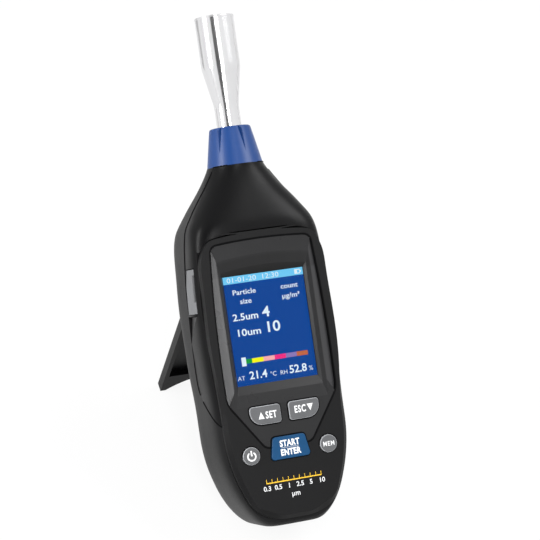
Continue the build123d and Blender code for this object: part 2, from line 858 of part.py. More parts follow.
# ---------------------------------------------------------------- inside
def make_inlet_socket():
    foot = neck_height - socket_length
    step = neck_height - probe_foot_depth - seam_gap
    bore = probe_spigot_radius + turned_gap
    seat = bore + seal_width
    barrel = socket_radius - socket_flange
    return turned([(probe_bore_radius, foot), (barrel, foot),
                   (barrel, neck_height - wall), (socket_radius, neck_height - wall),
                   (socket_radius, neck_height), (seat, neck_height),
                   (seat, neck_height - seal_section), (bore, neck_height - seal_section),
                   (bore, step), (probe_bore_radius, step)])


def make_probe_seal():
    inner = probe_spigot_radius + turned_gap
    outer = inner + seal_width
    top = neck_height - turned_gap
    return turned([(inner, neck_height - seal_section), (outer, neck_height - seal_section),
                   (outer, top), (inner, top)])


def make_inlet_tube():
    top = neck_height - socket_length
    return turned([(probe_bore_radius, chamber_high), (tube_radius, chamber_high),
                   (tube_radius, top), (probe_bore_radius, top)])


def make_sensor_chamber():
    body = block(-chamber_half_width, chamber_half_width, neck_depth - chamber_half_depth,
                 neck_depth + chamber_half_depth, chamber_low, chamber_high)
    body = chamfer(body.edges().filter_by(Axis.Y), chamber_corner)
    body -= rod(probe_bore_radius, (0, neck_depth, chamber_low + chamber_floor),
                (0, neck_depth, chamber_high + wall))
    return one(body)


def make_laser_module():
    foot = (-chamber_half_width - laser_length, neck_depth, chamber_middle)
    return one(rod(laser_radius, foot, (-chamber_half_width, neck_depth, chamber_middle)))


def make_light_detector():
    z = chamber_middle
    x = chamber_half_width
    top = x + detector_thickness
    plate = block(x, top, neck_depth - detector_half_depth, neck_depth + detector_half_depth,
                  z - detector_half_height, z + detector_half_height)
    plate += rod(detector_can_radius, (top, neck_depth, z),
                 (top + detector_can_height, neck_depth, z))
    return one(plate)


def make_air_pump():
    back = channel_floor - wall - fit_gap
    head_top = airway_low + pump_head
    head = block(pump_outer_x, pump_inner_x, back - pump_depth, back, airway_low, head_top)
    head = chamfer(head.edges().filter_by(Axis.Z), pump_corner)
    middle_y = back - pump_depth / 2
    motor = rod(pump_depth / 2 - pump_corner, (pump_middle, middle_y, head_top),
                (pump_middle, middle_y, pump_high))
    return one(head + motor)


def make_air_filter():
    body = rod(filter_radius, (airway_x, airway_depth, airway_low),
               (airway_x, airway_depth, filter_high))
    return one(chamfer(body.edges(), filter_edge))


def make_sample_hose():
    foot = (airway_x, airway_depth, filter_high)
    top = (airway_x, airway_depth, chamber_low)
    return one(rod(hose_radius, foot, top) - rod(hose_bore_radius, foot, top))


def make_pump_hose():
    low = airway_low - hose_drop
    route = FilletPolyline((airway_x, airway_depth, airway_low), (airway_x, airway_depth, low),
                           (pump_middle, airway_depth, low),
                           (pump_middle, airway_depth, airway_low),
                           radius=hose_bend)
    start = Plane(origin=(airway_x, airway_depth, airway_low), z_dir=(0, 0, -1))
    return one(sweep(start * Circle(hose_radius), path=route))


def make_main_board():
    foot_half = board_half_width - board_taper
    outline = make_face(Polyline((-foot_half, board_low), (foot_half, board_low),
                                 (board_half_width, board_low + 2 * board_taper),
                                 (board_half_width, board_high), (-board_half_width, board_high),
                                 (-board_half_width, board_low + 2 * board_taper), close=True))
    board = slab(fillet(outline.vertices(), board_corner), board_front, board_back)
    board += block(port_room_x(), -board_half_width + board_corner, board_front, board_back,
                   board_tab_low, board_tab_high)
    for x, z in boss_places():
        board -= rod(post_radius + board_hole_gap, (x, 0, z), (x, post_end, z))
    for x0, x1, z0, z1, height in chips:
        board += block(x0, x1, board_back, board_back + height, z0, z1)
    return one(board)


def port_room_x():
    """X of the sockets' mouths, just inside the left arm."""
    return -(width_at(board_tab_high, board_front, wall) - fit_gap)


def open_socket(middle, height, thickness, length):
    """Metal socket on the board's back, open towards the port flap."""
    x = port_room_x()
    low = middle - height / 2
    high = middle + height / 2
    body = block(x, x + length, board_back, board_back + thickness, low, high)
    room = block(x - wall, x + length - socket_shell, board_back + socket_shell,
                 board_back + thickness - socket_shell, low + socket_shell, high - socket_shell)
    return one(body - room)


def make_usb_socket():
    return open_socket(port_middle - usb_drop, usb_height, usb_thickness, usb_length)


def make_card_socket():
    return open_socket(port_middle + card_rise, card_height, card_thickness, card_length)


def make_display_lens():
    return one(slab(module_outline(), frame_floor, frame_floor + lens_thickness))


def make_display_module():
    return one(slab(module_outline(), frame_floor + lens_thickness, board_front - turned_gap))


def make_keypad_mat():
    half = round_key_x + round_key_radius + mat_side_margin
    low = start_key_low - mat_margin
    high = soft_key_high + mat_margin
    neck = soft_key_outer + mat_side_margin
    sheet = make_face(Polyline((-half, low), (half, low), (half, start_key_high), (neck, high),
                               (-neck, high), (-half, start_key_high), close=True))
    sheet = fillet(sheet.vertices(), mat_margin)
    return one(slab(sheet, mat_front, mat_front + mat_thickness))


def make_buzzer():
    place = (buzzer_x, board_back, round_key_height)
    return one(rod(buzzer_radius, place, (buzzer_x, board_back + buzzer_height, round_key_height)))


def make_climate_sensor():
    back = casing_depth - wall - fit_gap
    front = back - sensor_board
    low = vent_low + wall / 2
    middle = low + sensor_height / 2
    board = block(-sensor_half_width, sensor_half_width, front, back, low, low + sensor_height)
    board += block(-sensor_chip, sensor_chip, front - sensor_chip_height, front,
                   middle - sensor_chip, middle + sensor_chip)
    return one(board)


def make_battery_pack():
    back = channel_floor - door_thickness - fit_gap
    low = (door_low + door_high) / 2 - cell_length / 2
    offset_x = cell_radius + cell_spacing / 2
    cells = None
    for side in (-1, 1):
        cell = rod(cell_radius, (side * offset_x, back - cell_radius, low),
                   (side * offset_x, back - cell_radius, low + cell_length))
        cell = fillet(cell.edges(), cell_edge)
        cells = cell if cells is None else cells + cell
    bridge = block(-offset_x, offset_x, back - cell_radius - cell_bridge,
                   back - cell_radius + cell_bridge, low + 2 * cell_edge,
                   low + cell_length - 2 * cell_edge)
    return one(cells + bridge)


def make_battery_cover():
    door = door_blank(0.0, channel_floor)
    screw_hole = screw_radius + screw_play
    door -= rod(screw_hole, (0, 0, door_screw_z), (0, outside, door_screw_z))
    door -= rod(screw_head_radius + screw_play,
                (0, channel_floor - screw_head_height, door_screw_z), (0, outside, door_screw_z))
    for index in range(door_groove_count):
        height = door_high - door_groove_drop - index * door_groove_pitch
        groove = Pos(0, height) * SlotOverall(door_groove_length, door_groove_width)
        door -= slab(groove, channel_floor - door_groove_depth, outside)
    return one(door)


def make_screw(x, seat, z, length):
    """Cross-head screw whose head rests at depth seat."""
    top = seat + screw_head_height
    cross_floor = top - screw_cross_depth
    shank = rod(screw_radius, (x, seat - length, z), (x, seat + seam_gap, z))
    head = rod(screw_head_radius, (x, seat, z), (x, top, z))
    head = fillet([e for e in head.edges() if e.center().Y > top - 0.01], screw_edge)
    cross = block(x - screw_cross_reach, x + screw_cross_reach, cross_floor, outside,
                  z - screw_cross_half, z + screw_cross_half)
    cross += block(x - screw_cross_half, x + screw_cross_half, cross_floor, outside,
                   z - screw_cross_reach, z + screw_cross_reach)
    return one(shank + head - cross)


def make_battery_screw():
    length = door_screw_depth - screw_head_height - bay_margin
    return make_screw(0, channel_floor - screw_head_height, door_screw_z, length)


def make_case_screws():
    return Compound([make_screw(x, screw_seat, z, screw_length) for x, z in boss_places()])


def make_stand_pin():
    return one(rod(pin_radius, (-pin_length / 2, pin_y, pin_z), (pin_length / 2, pin_y, pin_z)))


def make_tripod_bush():
    front = casing_depth - tripod_bush_length
    bush = rod(tripod_bush_radius, (0, front, tripod_height), (0, casing_depth, tripod_height))
    bush -= rod(tripod_hole_radius, (0, front + tripod_bush_floor, tripod_height),
                (0, outside, tripod_height))
    return one(bush)


# ---------------------------------------------------------------- the device on its stand
def height_leaning(y, z, lean):
    """Height above the ground's level of a point of the side view, once the device leans."""
    return z * math.cos(lean) - y * math.sin(lean)


def heel_height(lean):
    """Lowest point of the casing's rounded lower back."""
    steps = [index * base_round / 60 for index in range(61)]
    return min(height_leaning(back_of(z), z, lean) for z in steps)


def foot_height(lean):
    """Lowest point of the open stand's feet."""
    dz = stand_low - pin_z
    turn = math.radians(stand_open)
    heights = []
    for depth in (channel_floor + stand_gap, casing_depth - stand_sink):
        dy = depth - pin_y
        y = pin_y + dy * math.cos(turn) - dz * math.sin(turn)
        z = pin_z + dy * math.sin(turn) + dz * math.cos(turn)
        heights.append(height_leaning(y, z, lean))
    return min(heights)


def find_lean():
    """Lean, in radians, at which the heel and the stand's feet both meet the ground."""
    low = math.radians(5)
    high = math.radians(80)
    for step in range(60):
        middle = (low + high) / 2
        if foot_height(middle) > heel_height(middle):
            low = middle
        else:
            high = middle
    return low


lean_angle = find_lean()

makers = {
    "front_cover": make_front_cover,
    "grip_hood": make_grip_hood,
    "rear_cover": make_rear_cover,
    "bezel": make_bezel,
    "display_lens": make_display_lens,
    "display_module": make_display_module,
    "keypad_mat": make_keypad_mat,
    "main_board": make_main_board,
    "usb_socket": make_usb_socket,
    "card_socket": make_card_socket,
    "port_cover": make_port_cover,
    "buzzer": make_buzzer,
    "climate_sensor": make_climate_sensor,
    "inlet_collar": make_collar,
    "inlet_probe": make_probe,
    "inlet_socket": make_inlet_socket,
    "probe_seal": make_probe_seal,
    "inlet_tube": make_inlet_tube,
    "sensor_chamber": make_sensor_chamber,
    "laser_module": make_laser_module,
    "light_detector": make_light_detector,
    "air_pump": make_air_pump,
    "air_filter": make_air_filter,
    "sample_hose": make_sample_hose,
    "pump_hose": make_pump_hose,
    "battery_pack": make_battery_pack,
    "battery_cover": make_battery_cover,
    "battery_screw": make_battery_screw,
    "case_screws": make_case_screws,
    "rear_stand": make_rear_stand,
    "stand_pin": make_stand_pin,
    "tripod_bush": make_tripod_bush,
}
pieces = {name: maker() for name, maker in makers.items()}
pieces |= {name: make_key(name) for name in key_outlines}

leaning = Rot(X=-math.degrees(lean_angle))
leaned = {name: leaning * piece for name, piece in pieces.items()}
reach = Compound(list(leaned.values())).bounding_box(optimal=True)
drop = Pos(-(reach.min.X + reach.max.X) / 2, -(reach.min.Y + reach.max.Y) / 2, -reach.min.Z)
placement = drop * leaning
standing = {name: placement * piece for name, piece in pieces.items()}

os.makedirs("parts", exist_ok=True)
for name, piece in standing.items():
    export_step(piece, f"parts/{name}.step")
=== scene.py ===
import json
import math

import bmesh
import bpy
from bpy.props import (FloatProperty, FloatVectorProperty, IntProperty, PointerProperty,
                       StringProperty)
from mathutils import Matrix, Vector


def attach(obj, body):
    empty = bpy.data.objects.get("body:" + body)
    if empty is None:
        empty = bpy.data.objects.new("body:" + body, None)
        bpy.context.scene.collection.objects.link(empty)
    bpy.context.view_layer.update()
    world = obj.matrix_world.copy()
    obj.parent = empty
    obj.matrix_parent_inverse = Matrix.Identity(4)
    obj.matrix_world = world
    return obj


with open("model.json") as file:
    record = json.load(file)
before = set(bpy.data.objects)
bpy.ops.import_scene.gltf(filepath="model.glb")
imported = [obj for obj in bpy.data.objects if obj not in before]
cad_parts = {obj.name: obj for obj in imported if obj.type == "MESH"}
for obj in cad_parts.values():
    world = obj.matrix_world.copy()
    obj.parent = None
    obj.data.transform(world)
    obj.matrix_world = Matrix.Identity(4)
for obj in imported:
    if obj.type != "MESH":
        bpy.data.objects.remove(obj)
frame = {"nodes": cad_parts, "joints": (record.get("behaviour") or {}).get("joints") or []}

bl_info = {
    "name": "Airborne particle counter",
    "version": (1, 0, 0),
    "blender": (4, 5, 0),
    "location": "View3D > Sidebar > Particle counter",
    "description": "Finishes, display picture, legends and stage for a hand-held particle counter",
    "category": "Object",
}

# The device's own directions and origin: across it, into it from its face, and along it.
# Its sizes here are in millimetres: first the stand's pin, the long axis and the probe
JOINTS = {joint["name"]: joint for joint in frame["joints"]}
PIN_DEPTH = 46.3
PIN_HEIGHT = 122.0
AXIS_DEPTH = 24.0
PROBE_TOP = 268.3
PROBE_RADIUS = 10.4
# The picture behind the glass
PICTURE_HALF_WIDTH = 22.1
PICTURE_HALF_HEIGHT = 28.4
PICTURE_MIDDLE = 102.7
PICTURE_DEPTH = 4.08
PICTURE_TOP = PICTURE_MIDDLE + PICTURE_HALF_HEIGHT
# Depths of the bezel's plate and of the step in its dish, and half the dish's width
PLATE_DEPTH = 0.15
DISH_STEP = 1.3
DISH_HALF = 25.2
# Depth of the keys' faces and thickness of the print
KEY_FACE = -0.9
INK = 0.02
# A gap's rim lies above the first of these depths and its wall reaches below the second
RIM_DEPTH = 2.0
WALL_DEPTH = 2.9
# Runs of bead shorter than this are left out, and no bead reaches past the casing's side
SHORTEST_BEAD = 4.0
CASING_HALF_WIDTH = 37.6
# Height of the printed scale's line, and gaps from it down to its numbers and its unit
SCALE_BASE = 23.4
SCALE_NUMBERS_BELOW = 4.1
SCALE_UNIT_BELOW = 8.6
# The tripod thread's place in the back, its length, and the size of its ridge
THREAD_DEPTH = 42.6
THREAD_HEIGHT = 138.0
THREAD_LENGTH = 6.6
THREAD_RADIUS = 2.62
THREAD_RIDGE = 0.34
# Roll of the probe's lip
LIP = 0.62
# Where the camera stands and looks, in the device's millimetres, and its roll in degrees
CAMERA_PLACE = (-332.62, -1009.61, 122.83)
CAMERA_AIM = (3.1, 0.0, 131.7)
CAMERA_ROLL = 8.154
# Middle of the lamps' aim and distance of the cards, in millimetres; the floor's in metres
LAMP_AIM = (0.0, 20.0, 120.0)
CARD_REACH = 350
FLOOR_REACH = 6.0
FLOOR_DROP = 0.0001
WHITE = (1.0, 1.0, 1.0, 1.0)

ACROSS = Vector((1.0, 0.0, 0.0))
INTO = Vector(JOINTS["set_key_press"]["axis"]).normalized()
ALONG = ACROSS.cross(INTO)
ORIGIN = (Vector(JOINTS["stand_hinge"]["pos_m"])
          - INTO * PIN_DEPTH / 1000 - ALONG * PIN_HEIGHT / 1000)
DEVICE = Matrix((
    (ACROSS.x / 1000, INTO.x / 1000, ALONG.x / 1000, ORIGIN.x),
    (ACROSS.y / 1000, INTO.y / 1000, ALONG.y / 1000, ORIGIN.y),
    (ACROSS.z / 1000, INTO.z / 1000, ALONG.z / 1000, ORIGIN.z),
    (0.0, 0.0, 0.0, 1.0),
))


def shade(red, green, blue):
    """A colour given as it looks on a screen, from 0 to 255, in linear light."""
    linear = []
    for value in (red, green, blue):
        share = value / 255
        linear.append(share / 12.92 if share <= 0.04045 else ((share + 0.055) / 1.055) ** 2.4)
    return tuple(linear)


# ---------------------------------------------------------------- settings
def colour_property(name, description, default):
    return FloatVectorProperty(name=name, description=description, default=default,
                               subtype="COLOR", size=3, min=0.0, max=1.0)


class CounterCasingSettings(bpy.types.PropertyGroup):
    """Colours and grain of the casing, the keys and the inlet."""
    casing: colour_property("Casing", "Front frame, rear cover and stand", shade(12, 12, 13))
    hood: colour_property("Hood", "Soft-touch hood over the shoulders", shade(9, 9, 10))
    bezel: colour_property("Bezel", "Plate round the display and the keys", shade(31, 31, 32))
    flap: colour_property("Port flap", "Rubber flap on the left side", shade(114, 115, 117))
    grey_key: colour_property("Grey keys", "Rubber of the four grey keys", shade(92, 93, 95))
    blue_key: colour_property("Blue key", "Rubber of the start key", shade(0, 64, 106))
    collar: colour_property("Collar", "Fluted collar under the probe", shade(16, 58, 118))
    probe: colour_property("Probe", "Turned inlet probe", (0.76, 0.76, 0.77))
    # Width of the black bead laid in the gaps as painted shade
    gap_shade_width: FloatProperty(name="Gap line", description="Width of the dark bead in the gaps",
                            default=0.0007, unit="LENGTH", precision=5)
    grain: FloatProperty(name="Grain", description="Width of the moulded grain",
                         default=0.0004, min=0.0001, max=0.002, unit="LENGTH", precision=5)


class CounterDisplaySettings(bpy.types.PropertyGroup):
    """What the display shows."""
    ground: colour_property("Ground", "Lit ground of the picture", shade(6, 66, 146))
    header: colour_property("Header", "Bar along the top", shade(112, 200, 242))
    ink: colour_property("Ink", "Letters and numbers", shade(226, 240, 252))
    fine_count: StringProperty(name="Fine count", description="Reading for fine particles",
                               default="4")
    coarse_count: StringProperty(name="Coarse count", description="Reading for coarse particles",
                                 default="10")
    temperature: StringProperty(name="Temperature", description="Air temperature shown",
                                default="21.4")
    humidity: StringProperty(name="Humidity", description="Relative humidity shown",
                             default="52.8")


class CounterScaleSettings(bpy.types.PropertyGroup):
    """Printed size scale under the keys, and the pitch of the tripod bush's thread."""
    tick_count: IntProperty(name="Ticks", description="Ticks along the printed scale",
                            default=11, min=2, max=41)
    tick_pitch: FloatProperty(name="Tick pitch", description="Distance between two ticks",
                              default=0.003, unit="LENGTH", precision=5)
    tick_height: FloatProperty(name="Tick height", description="Length of each tick",
                               default=0.0017, unit="LENGTH", precision=5)
    thread_pitch: FloatProperty(name="Thread pitch", description="Pitch of the tripod thread",
                                default=0.00127, unit="LENGTH", precision=5)
    line: colour_property("Scale line", "Line and ticks of the printed scale",
                          shade(238, 190, 40))


class CounterStageSettings(bpy.types.PropertyGroup):
    """Camera, lights and floor."""
    lens: FloatProperty(name="Lens", description="Focal length on a 36 mm sensor",
                        default=137.2, min=20.0, max=300.0)
    key_power: FloatProperty(name="Key light", description="Power of the large lamp",
                             default=10.5, unit="POWER")
    fill_power: FloatProperty(name="Fill light", description="Power of the side lamp",
                              default=12.0, unit="POWER")
    edge_power: FloatProperty(name="Edge light", description="Power of the narrow lamp",
                              default=5.0, unit="POWER")
    ambient: FloatProperty(name="Ambient", description="Strength of the light all round",
                           default=0.4, min=0.0, max=2.0)
    floor: colour_property("Floor", "Pale floor", (0.86, 0.86, 0.86))


# ---------------------------------------------------------------- shader maths
class Signal:
    """A node's socket that takes part in arithmetic."""

    def __init__(self, work, socket):
        self.work = work
        self.socket = socket

    def _math(self, operation, first, second):
        return self.work.node("ShaderNodeMath", {"operation": operation}, {0: first, 1: second})

    def __add__(self, other):
        return self._math("ADD", self, other)

    def __radd__(self, other):
        return self._math("ADD", other, self)

    def __sub__(self, other):
        return self._math("SUBTRACT", self, other)

    def __rsub__(self, other):
        return self._math("SUBTRACT", other, self)

    def __mul__(self, other):
        return self._math("MULTIPLY", self, other)

    def __rmul__(self, other):
        return self._math("MULTIPLY", other, self)

    def __pow__(self, other):
        return self._math("POWER", self, other)


class NodeWork:
    """A node tree whose nodes are made one by one."""

    def __init__(self, tree):
        self.tree = tree
        self.tree.nodes.clear()

    def node(self, kind, settings, values, out=0):
        """Any node: its settings are set first, then its sockets' values or links."""
        made = self.tree.nodes.new(kind)
        for name, value in settings.items():
            setattr(made, name, value)
        for name, value in values.items():
            if isinstance(value, Signal):
                self.tree.links.new(value.socket, made.inputs[name])
            else:
                made.inputs[name].default_value = value
        return Signal(self, made.outputs[out]) if made.outputs else None

    def looked_at(self):
        """1 for what the camera sees, straight, mirrored or through glass, and 0 for light."""
        seen, mirrored, through = (
            self.node("ShaderNodeLightPath", {}, {}, "Is %s Ray" % kind)
            for kind in ("Camera", "Glossy", "Transmission"))
        return self.node("ShaderNodeMath", {"operation": "ADD", "use_clamp": True},
                         {0: seen + mirrored, 1: through})


class Finish(NodeWork):
    """A material built round one shader."""

    def __init__(self, name, fixed):
        self.material = bpy.data.materials.new(name)
        self.material.use_nodes = True
        super().__init__(self.material.node_tree)
        self.node("ShaderNodeOutputMaterial", {}, {})
        self.surface = self.node("ShaderNodeBsdfPrincipled", {}, fixed)
        self.show(self.surface)
        self.place = self.node("ShaderNodeTexCoord", {}, {}, "Object")

    def show(self, signal):
        """Puts a shader on the surface."""
        self.tree.links.new(signal.socket, self.tree.get_output_node("ALL").inputs["Surface"])

    def feed(self, socket, signal):
        """Links a signal to one of the shader's sockets."""
        self.tree.links.new(signal.socket, self.surface.socket.node.inputs[socket])

    def noise(self, size, detail=2.0, vector=None):
        """Noise from 0 to 1 whose patches are about this many metres wide."""
        return self.node("ShaderNodeTexNoise", {},
                         {"Vector": vector or self.place, "Scale": 1 / size, "Detail": detail,
                          "Roughness": 0.55})

    def between(self, share, first, second):
        """Mix of two colours, by a signal from 0 to 1."""
        return self.node("ShaderNodeMix", {"data_type": "RGBA"},
                         {0: share, 6: (*first, 1.0) if isinstance(first, tuple) else first,
                          7: (*second, 1.0) if isinstance(second, tuple) else second}, 2)

    def relief(self, height, depth):
        """Bumps the surface by a height signal, depth metres at most."""
        bump = self.node("ShaderNodeBump", {},
                         {"Height": height, "Distance": depth, "Strength": 1.0}, "Normal")
        self.feed("Normal", bump)

    def way(self, direction):
        """Place in one of the device's directions, in millimetres from its origin."""
        reach = self.node("ShaderNodeVectorMath", {"operation": "DOT_PRODUCT"},
                          {0: self.place, 1: tuple(direction)}, "Value")
        return (reach - ORIGIN.dot(direction)) * 1000.0

    def held(self, signal):
        """A signal cut off at 0 and 1."""
        return self.node("ShaderNodeClamp", {}, {0: signal})

    def size_of(self, signal):
        """A signal without its sign."""
        return self.node("ShaderNodeMath", {"operation": "ABSOLUTE"}, {0: signal})


def lighter(colour, factor):
    """A colour made lighter or darker by a factor."""
    return tuple(min(value * factor, 1.0) for value in colour)


def moulded(name, colour, roughness, grain, depth, coat=0.0, gloss=0.18):
    """Moulded plastic or rubber: fine grain, faint flow marks and traces of handling."""
    finish = Finish(name, {"IOR": 1.46, "Specular IOR Level": gloss, "Coat Roughness": 0.25})
    flow = finish.noise(0.022, 3.0)
    dust = finish.noise(0.0016, 2.0)
    handling = finish.noise(0.045, 4.0)
    finish.feed("Base Color", finish.between(flow * 0.75 + dust * 0.25, lighter(colour, 0.86),
                                             lighter(colour, 1.14)))
    finish.feed("Roughness", handling * 0.16 + dust * 0.06 + (roughness - 0.11))
    if coat:
        finish.feed("Coat Weight", handling * 0.2 + (coat - 0.1))
    finish.relief(finish.noise(grain, 3.0), depth)
    return finish.material


def dished(name, colour, roughness, grain):
    """Moulded plate with a dish round the glass, with light and shade painted into its colour:
    painted shade on its brow, darker the deeper it lies, and painted highlights on the
    dish's side walls and on its cheeks, which fall away sideways."""
    finish = Finish(name, {"IOR": 1.46, "Specular IOR Level": 0.3})
    depth = finish.way(INTO)
    sideways = finish.size_of(finish.way(ACROSS))
    # Painted highlight on the cheeks, where the plate falls away sideways beside the dish
    cheek = (finish.held((sideways - DISH_HALF) * 1.6)
             * finish.held((depth - PLATE_DEPTH - 0.02) * 20.0))
    # Painted highlight on the dish's side walls beside the picture
    wall = finish.held((sideways - PICTURE_HALF_WIDTH) * 1.5) * finish.held(depth * 0.4)
    # Painted shade on the brow above the picture, darker the deeper it lies
    brow = finish.held((finish.way(ALONG) - PICTURE_TOP + 0.3) * 3.0)
    step = finish.held((depth - DISH_STEP) * 9.0)
    shaded = brow * (finish.held((depth - PLATE_DEPTH) * 3.0) * 0.34 + step * 0.2
                     + finish.held((depth - DISH_STEP) * 0.6) * 0.42)
    flow = finish.noise(0.022, 3.0)
    body = finish.between(flow, lighter(colour, 0.9), lighter(colour, 1.1))
    wall_highlight = finish.between(wall * 0.5, body, lighter(colour, 1.9))
    cheek_highlight = finish.between(cheek, wall_highlight, lighter(colour, 2.9))
    # The painted shade goes over the brow, nearly black just above the picture
    finish.feed("Base Color", finish.between(shaded, cheek_highlight, lighter(colour, 0.08)))
    finish.feed("Roughness", flow * 0.1 + (roughness - 0.05))
    finish.relief(finish.noise(grain, 3.0), 0.00001)
    return finish.material


def rubber_key(name, colour, rim):
    """Key rubber, with painted light on its rounded rim just below the face: the rim colour is a
    painted highlight where it is lighter than the face and painted shade where it is darker.
    """
    finish = Finish(name, {"IOR": 1.46, "Specular IOR Level": 0.3})
    # Mask of the rim just below the key's face, which takes the painted rim colour
    edge = finish.held((finish.way(INTO) - KEY_FACE - 0.015) * 6.0)
    cloud = finish.noise(0.006, 3.0)
    face = finish.between(cloud, lighter(colour, 0.88), lighter(colour, 1.1))
    finish.feed("Base Color", finish.between(edge, face, rim))
    finish.feed("Roughness", cloud * 0.14 + 0.34)
    finish.relief(finish.noise(0.0003, 2.0), 0.00001)
    return finish.material


def turned(name, colour, roughness):
    """Metal turned on a lathe: fine rings across its axis and soft smudges."""
    finish = Finish(name, {"Metallic": 1.0, "Anisotropic": 0.35})
    rings = finish.node("ShaderNodeTexNoise", {"noise_dimensions": "1D"},
                        {"W": finish.way(ALONG), "Scale": 5.2, "Detail": 3.0})
    smudge = finish.noise(0.012, 4.0)
    finish.feed("Base Color", finish.between(smudge * 0.6 + rings * 0.4, lighter(colour, 0.93),
                                             lighter(colour, 1.05)))
    finish.feed("Roughness", rings * 0.07 + smudge * 0.08 + (roughness - 0.07))
    finish.relief(rings, 0.000004)
    return finish.material


def plated(name, colour, roughness):
    """Rolled or plated metal with fine scratches."""
    finish = Finish(name, {"Metallic": 1.0})
    stretched = finish.node("ShaderNodeMapping", {}, {"Vector": finish.place,
                                                      "Scale": (1.0, 14.0, 14.0)})
    scratches = finish.noise(0.0035, 5.0, stretched)
    bloom = finish.noise(0.008, 2.0)
    finish.feed("Base Color", finish.between(bloom, lighter(colour, 0.88), lighter(colour, 1.08)))
    finish.feed("Roughness", scratches * 0.16 + (roughness - 0.08))
    finish.relief(scratches, 0.000006)
    return finish.material


def circuit_board(name):
    """Green solder mask over traces, with gold pads."""
    finish = Finish(name, {"IOR": 1.5})
    cells = finish.node("ShaderNodeTexVoronoi", {"feature": "F1", "distance": "MANHATTAN"},
                        {"Vector": finish.place, "Scale": 260.0}, "Color")
    traces = finish.node("ShaderNodeTexBrick", {},
                         {"Vector": finish.place, "Scale": 190.0, "Color1": (1, 1, 1, 1),
                          "Color2": (0.8, 0.8, 0.8, 1), "Mortar": (0, 0, 0, 1),
                          "Mortar Size": 0.06})
    green = finish.between(traces, shade(10, 58, 34), shade(20, 98, 58))
    spots = finish.node("ShaderNodeMath", {"operation": "GREATER_THAN"}, {0: cells, 1: 0.86})
    finish.feed("Base Color", finish.between(spots, green, shade(196, 160, 84)))
    finish.feed("Metallic", spots * 0.9)
    finish.feed("Roughness", 0.42 - spots * 0.12)
    finish.relief(traces, 0.00003)
    return finish.material


def silicone(name, colour):
    """Milky hose with a soft surface."""
    finish = Finish(name, {"IOR": 1.41, "Subsurface Weight": 0.3, "Subsurface Scale": 0.002})
    cloud = finish.noise(0.004, 3.0)
    finish.feed("Base Color", finish.between(cloud, lighter(colour, 0.92), colour))
    finish.feed("Roughness", cloud * 0.14 + 0.34)
    finish.relief(cloud, 0.00002)
    return finish.material


def window(name):
    """Clear display window, with the faintest haze."""
    finish = Finish(name, {"IOR": 1.1, "Transmission Weight": 1.0,
                           "Base Color": (0.96, 0.98, 1.0, 1.0)})
    finish.feed("Roughness", finish.noise(0.02, 3.0) * 0.02)
    return finish.material


def lit(name, colour):
    """Glowing picture element: its light is broken up by the display's rows and columns."""
    finish = Finish(name, {"Base Color": (0.004, 0.005, 0.008, 1.0), "Roughness": 0.35,
                           "Specular IOR Level": 0.0, "Emission Strength": 1.0})
    columns, rows = (finish.node("ShaderNodeMath", {"operation": "PINGPONG"},
                                 {0: finish.way(way) * 5.4, 1: 1.0}) for way in (ACROSS, ALONG))
    grid = (columns ** 0.5) * 0.5 + (rows ** 0.5) * 0.5
    finish.feed("Emission Color", finish.between(grid, lighter(colour, 0.8),
                                                 lighter(colour, 1.1)))
    return finish.material


def ink(name, colour):
    """Screen-printed ink: slightly uneven cover."""
    finish = Finish(name, {"IOR": 1.48})
    cover = finish.noise(0.0005, 3.0)
    finish.feed("Base Color", finish.between(cover, lighter(colour, 0.9), lighter(colour, 1.03)))
    finish.feed("Roughness", cover * 0.2 + 0.35)
    finish.relief(cover, 0.000008)
    return finish.material


# ---------------------------------------------------------------- making pieces
def add_piece(name, mesh, body, materials):
    """Links a mesh that is already in place as a piece that rides on a body."""
    piece = bpy.data.objects.new(name, mesh)
    bpy.context.scene.collection.objects.link(piece)
    for material in materials:
        if material.name not in mesh.materials:
            mesh.materials.append(material)
    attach(piece, body)
    return piece


class Artwork:
    """Thin printed or lit shapes, gathered into one mesh in the device's millimetres."""

    def __init__(self):
        self.mesh = bmesh.new()

    def plate(self, outline, depth, thickness, index=0):
        """A flat shape drawn across and along the device, raised towards its front."""
        front = [self.mesh.verts.new((x, depth - thickness, z)) for x, z in outline]
        back = [self.mesh.verts.new((x, depth, z)) for x, z in outline]
        faces = [self.mesh.faces.new(front), self.mesh.faces.new(back[::-1])]
        for first, second in zip(range(len(front)), list(range(1, len(front))) + [0]):
            faces.append(self.mesh.faces.new((front[second], front[first], back[first],
                                              back[second])))
        for face in faces:
            face.material_index = index

    def box(self, x0, x1, z0, z1, depth, thickness, index=0):
        self.plate([(x0, z0), (x1, z0), (x1, z1), (x0, z1)], depth, thickness, index)

    def words(self, text, x, z, height, depth, thickness, index=0, align="LEFT", heavy=0.0,
              narrow=1.0, apart=1.0):
        """Letters whose capitals are height millimetres high, standing on the line z."""
        curve = bpy.data.curves.new(text, "FONT")
        curve.body = text
        curve.size = height / 0.7
        curve.align_x = align
        curve.offset = heavy
        curve.space_character = apart
        curve.extrude = thickness / 2
        curve.resolution_u = 3
        holder = bpy.data.objects.new(text, curve)
        bpy.context.scene.collection.objects.link(holder)
        evaluated = holder.evaluated_get(bpy.context.evaluated_depsgraph_get())
        letters = bpy.data.meshes.new_from_object(evaluated)
        letters.transform(Matrix((
            (narrow, 0.0, 0.0, x),
            (0.0, 0.0, -1.0, depth - thickness / 2),
            (0.0, 1.0, 0.0, z),
            (0.0, 0.0, 0.0, 1.0),
        )))
        for polygon in letters.polygons:
            polygon.material_index = index
        self.mesh.from_mesh(letters)
        bpy.data.objects.remove(holder)
        bpy.data.meshes.remove(letters)
        bpy.data.curves.remove(curve)

    def settle(self, name, body, materials):
        """Puts the shapes in place on the device as one piece."""
        bmesh.ops.recalc_face_normals(self.mesh, faces=self.mesh.faces)
        mesh = bpy.data.meshes.new(name)
        self.mesh.to_mesh(mesh)
        self.mesh.free()
        mesh.transform(DEVICE)
        return add_piece(name, mesh, body, materials)


